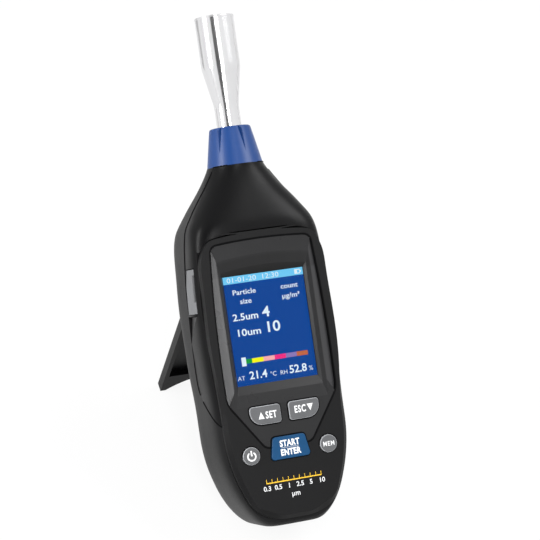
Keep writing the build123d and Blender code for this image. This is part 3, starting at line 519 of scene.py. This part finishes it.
def baked(name, tree, inputs, matrix):
    """A geometry tree's result as a plain mesh, moved by matrix."""
    holder = bpy.data.objects.new(name, bpy.data.meshes.new(name + "_seed"))
    bpy.context.scene.collection.objects.link(holder)
    modifier = holder.modifiers.new(name, "NODES")
    modifier.node_group = tree
    for item in tree.interface.items_tree:
        if item.item_type == "SOCKET" and item.in_out == "INPUT" and item.name in inputs:
            modifier[item.identifier] = inputs[item.name]
    evaluated = holder.evaluated_get(bpy.context.evaluated_depsgraph_get())
    mesh = bpy.data.meshes.new_from_object(evaluated)
    holder.modifiers.remove(modifier)
    bpy.data.objects.remove(holder)
    mesh.transform(matrix)
    return mesh


class Growth(NodeWork):
    """A geometry tree with named sizes."""

    def __init__(self, name, sizes):
        super().__init__(bpy.data.node_groups.new(name, "GeometryNodeTree"))
        for label, kind, value in sizes:
            made = self.tree.interface.new_socket(label, in_out="INPUT", socket_type=kind)
            if value is not None:
                made.default_value = value
        self.tree.interface.new_socket("Geometry", in_out="OUTPUT",
                                       socket_type="NodeSocketGeometry")

    def size(self, label):
        """One of the tree's named sizes."""
        return self.node("NodeGroupInput", {}, {}, label)

    def close(self, geometry):
        """Ends the tree with real geometry that carries its material."""
        real = self.node("GeometryNodeRealizeInstances", {}, {"Geometry": geometry})
        painted = self.node("GeometryNodeSetMaterial", {},
                            {"Geometry": real, "Material": self.size("Material")})
        self.node("NodeGroupOutput", {}, {0: painted})
        return self.tree


def tick_row():
    """Ticks of a printed scale, in a row along X."""
    growth = Growth("tick_row", [("Count", "NodeSocketInt", 11), ("Pitch", "NodeSocketFloat", 2.4),
                                 ("Height", "NodeSocketFloat", 1.3),
                                 ("Width", "NodeSocketFloat", 0.28),
                                 ("Thickness", "NodeSocketFloat", 0.02),
                                 ("Material", "NodeSocketMaterial", None)])
    step = growth.node("ShaderNodeCombineXYZ", {}, {"X": growth.size("Pitch")})
    row = growth.node("GeometryNodeMeshLine", {},
                      {"Count": growth.size("Count"), "Offset": step})
    shape = growth.node("ShaderNodeCombineXYZ", {},
                        {"X": growth.size("Width"), "Y": growth.size("Thickness"),
                         "Z": growth.size("Height")})
    tick = growth.node("GeometryNodeMeshCube", {}, {"Size": shape})
    ticks = growth.node("GeometryNodeInstanceOnPoints", {}, {"Points": row, "Instance": tick})
    return growth.close(ticks)


def joint_bead():
    """Thin black bead along the curves of a mesh made only of edges."""
    growth = Growth("joint_bead", [("Lines", "NodeSocketObject", None),
                                   ("Radius", "NodeSocketFloat", 0.3),
                                   ("Sides", "NodeSocketInt", 6),
                                   ("Material", "NodeSocketMaterial", None)])
    lines = growth.node("GeometryNodeObjectInfo", {}, {"Object": growth.size("Lines")}, "Geometry")
    path = growth.node("GeometryNodeMeshToCurve", {}, {"Mesh": lines})
    profile = growth.node("GeometryNodeCurvePrimitiveCircle", {"mode": "RADIUS"},
                          {"Resolution": growth.size("Sides"), "Radius": growth.size("Radius")})
    bead = growth.node("GeometryNodeCurveToMesh", {},
                       {"Curve": path, "Profile Curve": profile, "Fill Caps": True})
    return growth.close(bead)


def rolled_rim():
    """Round lip that closes a turned tube's mouth, round Z."""
    growth = Growth("rolled_rim", [("Radius", "NodeSocketFloat", 9.95),
                                   ("Lip", "NodeSocketFloat", 0.6),
                                   ("Material", "NodeSocketMaterial", None)])
    mouth = growth.node("GeometryNodeCurvePrimitiveCircle", {"mode": "RADIUS"},
                        {"Resolution": 96, "Radius": growth.size("Radius")})
    lip = growth.node("GeometryNodeCurvePrimitiveCircle", {"mode": "RADIUS"},
                      {"Resolution": 16, "Radius": growth.size("Lip")})
    rim = growth.node("GeometryNodeCurveToMesh", {}, {"Curve": mouth, "Profile Curve": lip})
    return growth.close(rim)


def thread_ridge():
    """Ridge of an inside thread that winds up along Z."""
    growth = Growth("thread_ridge", [("Radius", "NodeSocketFloat", 2.6),
                                     ("Turns", "NodeSocketFloat", 5.0),
                                     ("Length", "NodeSocketFloat", 6.5),
                                     ("Ridge", "NodeSocketFloat", 0.35),
                                     ("Material", "NodeSocketMaterial", None)])
    path = growth.node("GeometryNodeCurveSpiral", {},
                       {"Resolution": 40, "Rotations": growth.size("Turns"),
                        "Start Radius": growth.size("Radius"),
                        "End Radius": growth.size("Radius"), "Height": growth.size("Length")})
    ridge = growth.node("GeometryNodeCurvePrimitiveCircle", {"mode": "RADIUS"},
                        {"Resolution": 4, "Radius": growth.size("Ridge")})
    solid = growth.node("GeometryNodeCurveToMesh", {},
                        {"Curve": path, "Profile Curve": ridge, "Fill Caps": True})
    return growth.close(solid)


# ---------------------------------------------------------------- operators
def dress(material, *nodes):
    """Gives CAD nodes a material."""
    for node in nodes:
        for slot in frame["nodes"][node].material_slots:
            slot.material = material


class CounterFinishes(bpy.types.Operator):
    """Gives every moulded, turned and inner part its finish"""
    bl_idname = "particle_counter.finishes"
    bl_label = "Finishes"

    def execute(self, context):
        look = context.scene.counter_casing
        grain = look.grain
        dress(moulded("casing_plastic", tuple(look.casing), 0.46, grain, 0.00003),
              "front_cover", "rear_cover", "battery_cover", "rear_stand")
        dress(moulded("hood_soft_touch", tuple(look.hood), 0.34, grain * 0.6, 0.00001,
                      gloss=0.12), "grip_hood")
        dress(dished("bezel_plastic", tuple(look.bezel), 0.28, grain * 0.7), "bezel")
        dress(moulded("flap_rubber", tuple(look.flap), 0.62, grain, 0.00002), "port_cover")
        # The grey keys' rims get a painted highlight, four times their face's colour
        dress(rubber_key("grey_key_rubber", tuple(look.grey_key), lighter(look.grey_key, 4.0)),
              "set_key", "esc_key", "power_key", "memory_key")
        # The blue key's rim gets painted shade, darker than its face
        dress(rubber_key("blue_key_rubber", tuple(look.blue_key), lighter(look.blue_key, 0.55)),
              "start_key")
        dress(moulded("collar_plastic", tuple(look.collar), 0.36, grain * 0.6, 0.00001,
                      gloss=0.4), "inlet_collar")
        dress(turned("probe_aluminium", tuple(look.probe), 0.13), "inlet_probe", "inlet_socket")
        dress(turned("turned_brass", shade(214, 176, 96), 0.26), "tripod_bush", "laser_module")
        dress(plated("plated_steel", shade(196, 197, 200), 0.3), "usb_socket", "card_socket",
              "stand_pin", "case_screws", "battery_screw")
        dress(window("display_window"), "display_lens")
        dress(moulded("module_frame", shade(24, 24, 26), 0.4, grain, 0.00001), "display_module")
        dress(moulded("key_mat_rubber", shade(96, 97, 99), 0.6, grain, 0.00002), "keypad_mat",
              "probe_seal")
        dress(moulded("inner_plastic", shade(30, 30, 31), 0.55, grain, 0.00003),
              "sensor_chamber", "buzzer", "air_pump")
        dress(moulded("filter_housing", shade(226, 226, 222), 0.5, grain, 0.00002), "air_filter")
        dress(moulded("cell_wrap", shade(34, 92, 150), 0.32, grain * 2, 0.00001, coat=0.3),
              "battery_pack")
        dress(circuit_board("circuit_board"), "main_board", "light_detector", "climate_sensor")
        dress(silicone("silicone_hose", shade(214, 214, 208)), "inlet_tube", "sample_hose",
              "pump_hose")
        return {"FINISHED"}


def picture_x(share):
    """Across the picture, 0 at its left edge and 1 at its right."""
    return PICTURE_HALF_WIDTH * (2 * share - 1)


def picture_z(share):
    """Down the picture, 0 at its top and 1 at its bottom."""
    return PICTURE_MIDDLE + PICTURE_HALF_HEIGHT * (1 - 2 * share)


class CounterDisplay(bpy.types.Operator):
    """Makes the lit picture behind the display window"""
    bl_idname = "particle_counter.display"
    bl_label = "Display picture"

    def execute(self, context):
        look = context.scene.counter_display
        art = Artwork()
        deep = PICTURE_DEPTH
        palette = [lit("lit_ground", tuple(look.ground)), lit("lit_header", tuple(look.header)),
                   lit("lit_ink", tuple(look.ink))]
        band = [((20, 152, 52), 0.145, 0.225), ((250, 246, 0), 0.225, 0.365),
                ((252, 172, 170), 0.365, 0.505), ((240, 40, 124), 0.505, 0.645),
                ((138, 118, 178), 0.645, 0.780), ((192, 100, 58), 0.780, 0.920)]

        def area(x0, x1, z0, z1, raised, index):
            art.box(picture_x(x0), picture_x(x1), picture_z(z1), picture_z(z0),
                    deep - 0.02 * raised, 0.015, index)

        def line(text, x, base, height, align="LEFT", heavy=0.0, index=2, wide=1.0):
            art.words(text, picture_x(x), picture_z(base), height, deep - 0.04, 0.015, index,
                      align, heavy, wide)

        area(0.0, 1.0, 0.0, 1.0, 0, 0)
        area(0.0, 1.0, 0.0, 0.068, 1, 1)
        line("01-01-20  12:30", 0.05, 0.056, 2.5, wide=1.25)
        area(0.895, 0.965, 0.014, 0.056, 2, 2)
        area(0.965, 0.978, 0.026, 0.044, 2, 2)
        area(0.93, 0.957, 0.022, 0.048, 3, 1)
        line("Particle", 0.245, 0.172, 2.6, "CENTER", 0.05, wide=1.15)
        line("size", 0.25, 0.258, 2.6, "CENTER", 0.05, wide=1.15)
        line("count", 0.805, 0.172, 2.5, "CENTER", 0.05, wide=1.15)
        line("µg/m³", 0.81, 0.262, 2.6, "CENTER", 0.05, wide=1.15)
        line("2.5um", 0.06, 0.405, 3.5, heavy=0.09, wide=1.14)
        line(look.fine_count, 0.43, 0.402, 5.3, heavy=0.14, wide=1.1)
        line("10um", 0.075, 0.548, 3.5, heavy=0.09, wide=1.22)
        line(look.coarse_count, 0.435, 0.545, 5.4, heavy=0.14, wide=1.12)
        for colour, start, end in band:
            palette.append(lit("lit_band_%d" % len(palette), shade(*colour)))
            area(start, end, 0.762, 0.803, 1, len(palette) - 1)
        area(0.095, 0.15, 0.742, 0.823, 2, 2)
        line("AT", 0.02, 0.948, 2.2)
        line(look.temperature, 0.165, 0.948, 4.0, heavy=0.1)
        line("°C", 0.42, 0.948, 2.3)
        line("RH", 0.545, 0.948, 2.2)
        line(look.humidity, 0.66, 0.948, 4.0, heavy=0.1)
        line("%", 0.905, 0.948, 2.4)
        art.settle("display_picture", "casing", palette)
        return {"FINISHED"}


def ring(x, z, outer, inner, start, end, steps):
    """Outline of part of a ring, from one angle to another in degrees."""
    angles = [math.radians(start + (end - start) * step / steps) for step in range(steps + 1)]
    outside = [(x + outer * math.cos(a), z + outer * math.sin(a)) for a in angles]
    inside = [(x + inner * math.cos(a), z + inner * math.sin(a)) for a in reversed(angles)]
    return outside + inside


class CounterLegends(bpy.types.Operator):
    """Prints the legends on the five keys"""
    bl_idname = "particle_counter.legends"
    bl_label = "Key legends"

    def execute(self, context):
        white = ink("legend_ink", shade(240, 241, 242))
        set_up = Artwork()
        set_up.plate([(-14.7, 56.4), (-11.4, 56.4), (-13.05, 60.0)], KEY_FACE, INK)
        set_up.words("SET", -10.7, 56.4, 3.5, KEY_FACE, INK, heavy=0.15, narrow=0.7, apart=1.16)
        set_up.settle("set_key_legend", "set_key", [white])

        esc_down = Artwork()
        esc_down.plate([(12.2, 60.5), (13.85, 56.9), (15.5, 60.5)], KEY_FACE, INK)
        esc_down.words("ESC", 5.1, 56.9, 3.5, KEY_FACE, INK, heavy=0.15, narrow=0.7, apart=1.16)
        esc_down.settle("esc_key_legend", "esc_key", [white])

        start = Artwork()
        for word, height in (("START", 40.8), ("ENTER", 36.2)):
            start.words(word, 0, height, 3.1, KEY_FACE, INK, align="CENTER", heavy=0.18,
                        narrow=0.78, apart=1.08)
        start.box(-4.8, 4.8, 40.05, 40.2, KEY_FACE, INK)
        start.settle("start_key_legend", "start_key", [white])

        power = Artwork()
        power.plate(ring(-21.2, 38.2, 2.5, 1.75, 122, 418, 36), KEY_FACE, INK)
        power.box(-21.6, -20.8, 38.4, 41.2, KEY_FACE, INK)
        power.settle("power_key_legend", "power_key", [white])

        memory = Artwork()
        memory.words("MEM", 21.2, 37.2, 2.4, KEY_FACE, INK, align="CENTER", heavy=0.04,
                     narrow=0.84, apart=1.16)
        memory.settle("memory_key_legend", "memory_key", [white])
        return {"FINISHED"}


class CounterScale(bpy.types.Operator):
    """Prints the plain particle size scale under the keys"""
    bl_idname = "particle_counter.size_scale"
    bl_label = "Size scale"

    def execute(self, context):
        look = context.scene.counter_scale
        amber = ink("scale_ink", tuple(look.line))
        white = ink("number_ink", shade(228, 229, 230))
        pitch = look.tick_pitch * 1000
        length = pitch * (look.tick_count - 1)
        left = -length / 2
        height = look.tick_height * 1000
        place = DEVICE @ Matrix.Translation((left, -INK / 2, SCALE_BASE + height / 2))
        ticks = baked("scale_ticks", tick_row(),
                      {"Count": look.tick_count, "Pitch": pitch, "Height": height,
                       "Thickness": INK, "Material": amber}, place)
        add_piece("scale_ticks", ticks, "casing", [amber])
        art = Artwork()
        art.box(left - 0.14, left + length + 0.14, SCALE_BASE - 0.6, SCALE_BASE, 0.0, INK)
        for share, text in ((0.0, "0.3"), (0.2, "0.5"), (0.4, "1"), (0.6, "2.5"), (0.8, "5"),
                            (1.0, "10")):
            art.words(text, left + length * share, SCALE_BASE - SCALE_NUMBERS_BELOW, 2.4, 0.0, INK,
                      1, "CENTER", 0.07)
        art.words("µm", 0.0, SCALE_BASE - SCALE_UNIT_BELOW, 2.6, 0.0, INK, 1, "CENTER", 0.05)
        art.settle("scale_line", "casing", [amber, white])
        return {"FINISHED"}


def rims(node, is_skin, is_wall):
    """Edges of a CAD node where its skin meets the wall of a gap, in device millimetres.

    Both tests are given a face's normal in the device's directions, its middle and the depth
    of its deepest corner.
    """
    part = frame["nodes"][node]
    to_device = DEVICE.inverted()
    places = {}
    point_of = [places.setdefault(tuple(round(value, 3) for value in to_device @ vertex.co),
                                  len(places)) for vertex in part.data.vertices]
    points = list(places)
    skins = set()
    walls = set()
    for face in part.data.polygons:
        corners = [point_of[index] for index in face.vertices]
        normal = Vector((ACROSS.dot(face.normal), INTO.dot(face.normal), ALONG.dot(face.normal)))
        middle = to_device @ face.center
        deepest = max(points[corner][1] for corner in corners)
        sides = {tuple(sorted(pair)) for pair in zip(corners, corners[1:] + corners[:1])}
        if is_skin(normal, middle, deepest):
            skins |= sides
        elif is_wall(normal, middle, deepest):
            walls |= sides
    return [(points[first], points[second]) for first, second in sorted(skins & walls)]


def front_skin(normal, middle, deepest):
    return normal.y < -0.75 and middle.y < RIM_DEPTH


def gap_wall(normal, middle, deepest):
    return abs(normal.y) < 0.25 and deepest > WALL_DEPTH


def hood_skin(normal, middle, deepest):
    outward = Vector((middle.x, middle.y - AXIS_DEPTH, 0.0)).normalized()
    return normal.dot(outward) > 0.45 and abs(normal.y) < 0.8


def hood_edge(normal, middle, deepest):
    outward = Vector((middle.x, middle.y - AXIS_DEPTH, 0.0)).normalized()
    return abs(normal.dot(outward)) < 0.35 and (normal.y > 0.9 or abs(normal.z) > 0.75)


def without_crumbs(lines, shortest):
    """Takes away the runs whose edges add up to less than shortest millimetres."""
    unseen = set(lines.verts)
    crumbs = []
    while unseen:
        run = []
        reached = [unseen.pop()]
        while reached:
            vertex = reached.pop()
            run.append(vertex)
            for edge in vertex.link_edges:
                other = edge.other_vert(vertex)
                if other in unseen:
                    unseen.discard(other)
                    reached.append(other)
        if sum(edge.calc_length() for vertex in run for edge in vertex.link_edges) / 2 < shortest:
            crumbs += run
    bmesh.ops.delete(lines, geom=crumbs, context="VERTS")


class CounterJoints(bpy.types.Operator):
    """Lays black beads in the gaps round the bezel and the keys, painted shade that stands for the
    gaps' shadow
    """
    bl_idname = "particle_counter.joint_lines"
    bl_label = "Joint lines"

    def execute(self, context):
        # The beads are painted shade: black strips laid in the gaps in place of their shadow
        black = moulded("gap_rubber", shade(9, 9, 10), 0.6, 0.0002, 0.000005, gloss=0.05)
        radius = context.scene.counter_casing.gap_shade_width * 1000 / 2
        lines = bmesh.new()
        corners = {}
        runs = rims("bezel", front_skin, gap_wall) + rims("front_cover", front_skin, gap_wall)
        widest = CASING_HALF_WIDTH - radius * 1.6
        for run in runs + rims("grip_hood", hood_skin, hood_edge):
            for place in run:
                if place not in corners:
                    x, y, z = place
                    corners[place] = lines.verts.new((max(-widest, min(x, widest)), y, z))
            lines.edges.new([corners[place] for place in run])
        without_crumbs(lines, SHORTEST_BEAD)
        mesh = bpy.data.meshes.new("joint_runs")
        lines.to_mesh(mesh)
        lines.free()
        holder = bpy.data.objects.new("joint_runs", mesh)
        context.scene.collection.objects.link(holder)
        bead = baked("joint_lines", joint_bead(),
                     {"Lines": holder, "Radius": radius, "Material": black}, DEVICE)
        bpy.data.objects.remove(holder)
        add_piece("joint_lines", bead, "casing", [black])
        return {"FINISHED"}


class CounterThread(bpy.types.Operator):
    """Winds the thread's ridge inside the tripod bush"""
    bl_idname = "particle_counter.tripod_thread"
    bl_label = "Tripod thread"

    def execute(self, context):
        look = context.scene.counter_scale
        brass = turned("thread_brass", shade(206, 168, 90), 0.3)
        pitch = look.thread_pitch * 1000
        into = Matrix(((1, 0, 0, 0), (0, 0, 1, THREAD_DEPTH), (0, -1, 0, THREAD_HEIGHT),
                       (0, 0, 0, 1)))
        ridge = baked("tripod_thread", thread_ridge(),
                      {"Radius": THREAD_RADIUS, "Turns": THREAD_LENGTH / pitch,
                       "Length": THREAD_LENGTH, "Ridge": THREAD_RIDGE, "Material": brass},
                      DEVICE @ into)
        add_piece("tripod_thread", ridge, "casing", [brass])
        return {"FINISHED"}


class CounterRim(bpy.types.Operator):
    """Rolls the lip round the probe's mouth"""
    bl_idname = "particle_counter.probe_rim"
    bl_label = "Probe rim"

    def execute(self, context):
        look = context.scene.counter_casing
        metal = turned("rim_aluminium", tuple(look.probe), 0.16)
        mouth = DEVICE @ Matrix.Translation((0.0, AXIS_DEPTH, PROBE_TOP - LIP))
        rim = baked("probe_rim", rolled_rim(),
                    {"Radius": PROBE_RADIUS - LIP * 0.75, "Lip": LIP, "Material": metal}, mouth)
        add_piece("probe_rim", rim, "casing", [metal])
        return {"FINISHED"}


class CounterStage(bpy.types.Operator):
    """Sets the floor, the lamps and the camera"""
    bl_idname = "particle_counter.stage"
    bl_label = "Stage"

    def execute(self, context):
        look = context.scene.counter_stage
        self.lay_floor(look)
        self.set_cards()
        self.light_room(look)
        self.set_camera(context, look)
        context.scene.view_settings.view_transform = "Standard"
        return {"FINISHED"}

    def lay_floor(self, look):
        mesh = bpy.data.meshes.new("floor")
        mesh.from_pydata([(x * FLOOR_REACH, y * FLOOR_REACH, -FLOOR_DROP)
                          for x, y in ((-1, -1), (1, -1), (1, 1), (-1, 1))], [], [(0, 1, 2, 3)])
        floor = bpy.data.objects.new("floor", mesh)
        bpy.context.scene.collection.objects.link(floor)
        finish = Finish("floor_paper", {"Roughness": 0.9, "Specular IOR Level": 0.1})
        fibre = finish.noise(0.002, 4.0)
        finish.feed("Base Color", finish.between(fibre, lighter(look.floor, 0.985),
                                                 lighter(look.floor, 1.01)))
        white = finish.node("ShaderNodeEmission", {}, {"Color": WHITE, "Strength": 1.0})
        mix = finish.node("ShaderNodeMixShader", {},
                          {0: finish.looked_at() * 0.9, 1: finish.surface, 2: white})
        finish.show(mix)
        mesh.materials.append(finish.material)

    def set_cards(self):
        """Grey cards round the probe, which only mirror-like surfaces pick up."""
        for name, grey, turn, spread, low, high in (
                ("card_by_camera", 0.12, -27.0, 13.0, 20.0, 430.0),
                ("card_left", 0.5, -145.0, 16.0, 190.0, 420.0),
                ("card_right", 0.7, 108.0, 12.0, 190.0, 420.0)):
            finish = Finish(name, {"Roughness": 0.95})
            weave = finish.noise(0.003, 2.0)
            finish.feed("Base Color", finish.between(weave, (grey * 0.9,) * 3, (grey,) * 3))
            corners = []
            for edge, height in ((-1, low), (1, low), (1, high), (-1, high)):
                turned_by = math.radians(turn + edge * spread)
                corners.append(DEVICE @ Vector((
                    CARD_REACH * math.sin(turned_by),
                    AXIS_DEPTH - CARD_REACH * math.cos(turned_by), height)))
            mesh = bpy.data.meshes.new(name)
            mesh.from_pydata(corners, [], [(0, 1, 2, 3)])
            mesh.materials.append(finish.material)
            card = bpy.data.objects.new(name, mesh)
            bpy.context.scene.collection.objects.link(card)
            card.visible_camera = False
            card.visible_diffuse = False
            card.visible_shadow = False
            card.visible_transmission = False

    def light_room(self, look):
        world = bpy.data.worlds.new("soft_room")
        world.use_nodes = True
        room = NodeWork(world.node_tree)
        ambient = room.node("ShaderNodeBackground", {},
                            {"Color": WHITE, "Strength": look.ambient})
        backdrop = room.node("ShaderNodeBackground", {}, {"Color": WHITE, "Strength": 1.0})
        mix = room.node("ShaderNodeMixShader", {}, {0: room.looked_at(), 1: ambient, 2: backdrop})
        room.node("ShaderNodeOutputWorld", {}, {"Surface": mix})
        bpy.context.scene.world = world
        for name, turn, rise, reach, width, height, power in (
                ("key_lamp", 46.0, 34.0, 1.2, 0.55, 0.7, look.key_power),
                ("side_lamp", -76.0, 20.0, 1.2, 0.24, 0.9, look.fill_power),
                ("edge_lamp", -8.0, 3.0, 0.95, 0.16, 0.7, look.edge_power)):
            light = bpy.data.lights.new(name, "AREA")
            light.shape = "RECTANGLE"
            light.size = width
            light.size_y = height
            light.energy = power
            turned_by = math.radians(turn)
            risen_by = math.radians(rise)
            away = (ACROSS * math.sin(turned_by) * math.cos(risen_by)
                    - INTO * math.cos(turned_by) * math.cos(risen_by)
                    + ALONG * math.sin(risen_by)).normalized()
            side = ALONG.cross(away).normalized()
            up = away.cross(side)
            place = DEVICE @ Vector(LAMP_AIM) + away * reach
            lamp = bpy.data.objects.new(name, light)
            lamp.matrix_world = Matrix((
                (side.x, up.x, away.x, place.x),
                (side.y, up.y, away.y, place.y),
                (side.z, up.z, away.z, place.z),
                (0.0, 0.0, 0.0, 1.0),
            ))
            bpy.context.scene.collection.objects.link(lamp)

    def set_camera(self, context, look):
        stand_point = DEVICE @ Vector(CAMERA_PLACE)
        aim = DEVICE @ Vector(CAMERA_AIM)
        roll = math.radians(CAMERA_ROLL)
        back = (stand_point - aim).normalized()
        level = ALONG.cross(back).normalized()
        rise = back.cross(level)
        right = level * math.cos(roll) - rise * math.sin(roll)
        up = level * math.sin(roll) + rise * math.cos(roll)
        data = bpy.data.cameras.new("camera")
        data.lens = look.lens
        data.sensor_width = 36.0
        camera = bpy.data.objects.new("camera", data)
        camera.matrix_world = Matrix((
            (right.x, up.x, back.x, stand_point.x),
            (right.y, up.y, back.y, stand_point.y),
            (right.z, up.z, back.z, stand_point.z),
            (0.0, 0.0, 0.0, 1.0),
        ))
        context.scene.collection.objects.link(camera)
        context.scene.camera = camera


class CounterPanel(bpy.types.Panel):
    """Lists the particle counter's sizes, colours and steps"""
    bl_idname = "VIEW3D_PT_particle_counter"
    bl_label = "Particle counter"
    bl_space_type = "VIEW_3D"
    bl_region_type = "UI"
    bl_category = "Particle counter"

    def draw(self, context):
        layout = self.layout
        for group in ("counter_casing", "counter_display", "counter_scale", "counter_stage"):
            settings = getattr(context.scene, group)
            box = layout.box()
            for name in settings.bl_rna.properties.keys():
                if name not in ("rna_type", "name"):
                    box.prop(settings, name)
        for step in STEPS:
            layout.operator(step.bl_idname)


GROUPS = {
    "counter_casing": CounterCasingSettings,
    "counter_display": CounterDisplaySettings,
    "counter_scale": CounterScaleSettings,
    "counter_stage": CounterStageSettings,
}
STEPS = (CounterFinishes, CounterJoints, CounterDisplay, CounterLegends, CounterScale,
         CounterThread, CounterRim, CounterStage)
CLASSES = (*GROUPS.values(), *STEPS, CounterPanel)


def register():
    for piece_class in CLASSES:
        bpy.utils.register_class(piece_class)
    for name, group in GROUPS.items():
        setattr(bpy.types.Scene, name, PointerProperty(type=group))


def unregister():
    for name in GROUPS:
        delattr(bpy.types.Scene, name)
    for piece_class in reversed(CLASSES):
        bpy.utils.unregister_class(piece_class)


def main():
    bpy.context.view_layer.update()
    register()
    for step in STEPS:
        section, name = step.bl_idname.split(".")
        getattr(getattr(bpy.ops, section), name)()


if __name__ == "__main__":
    main()
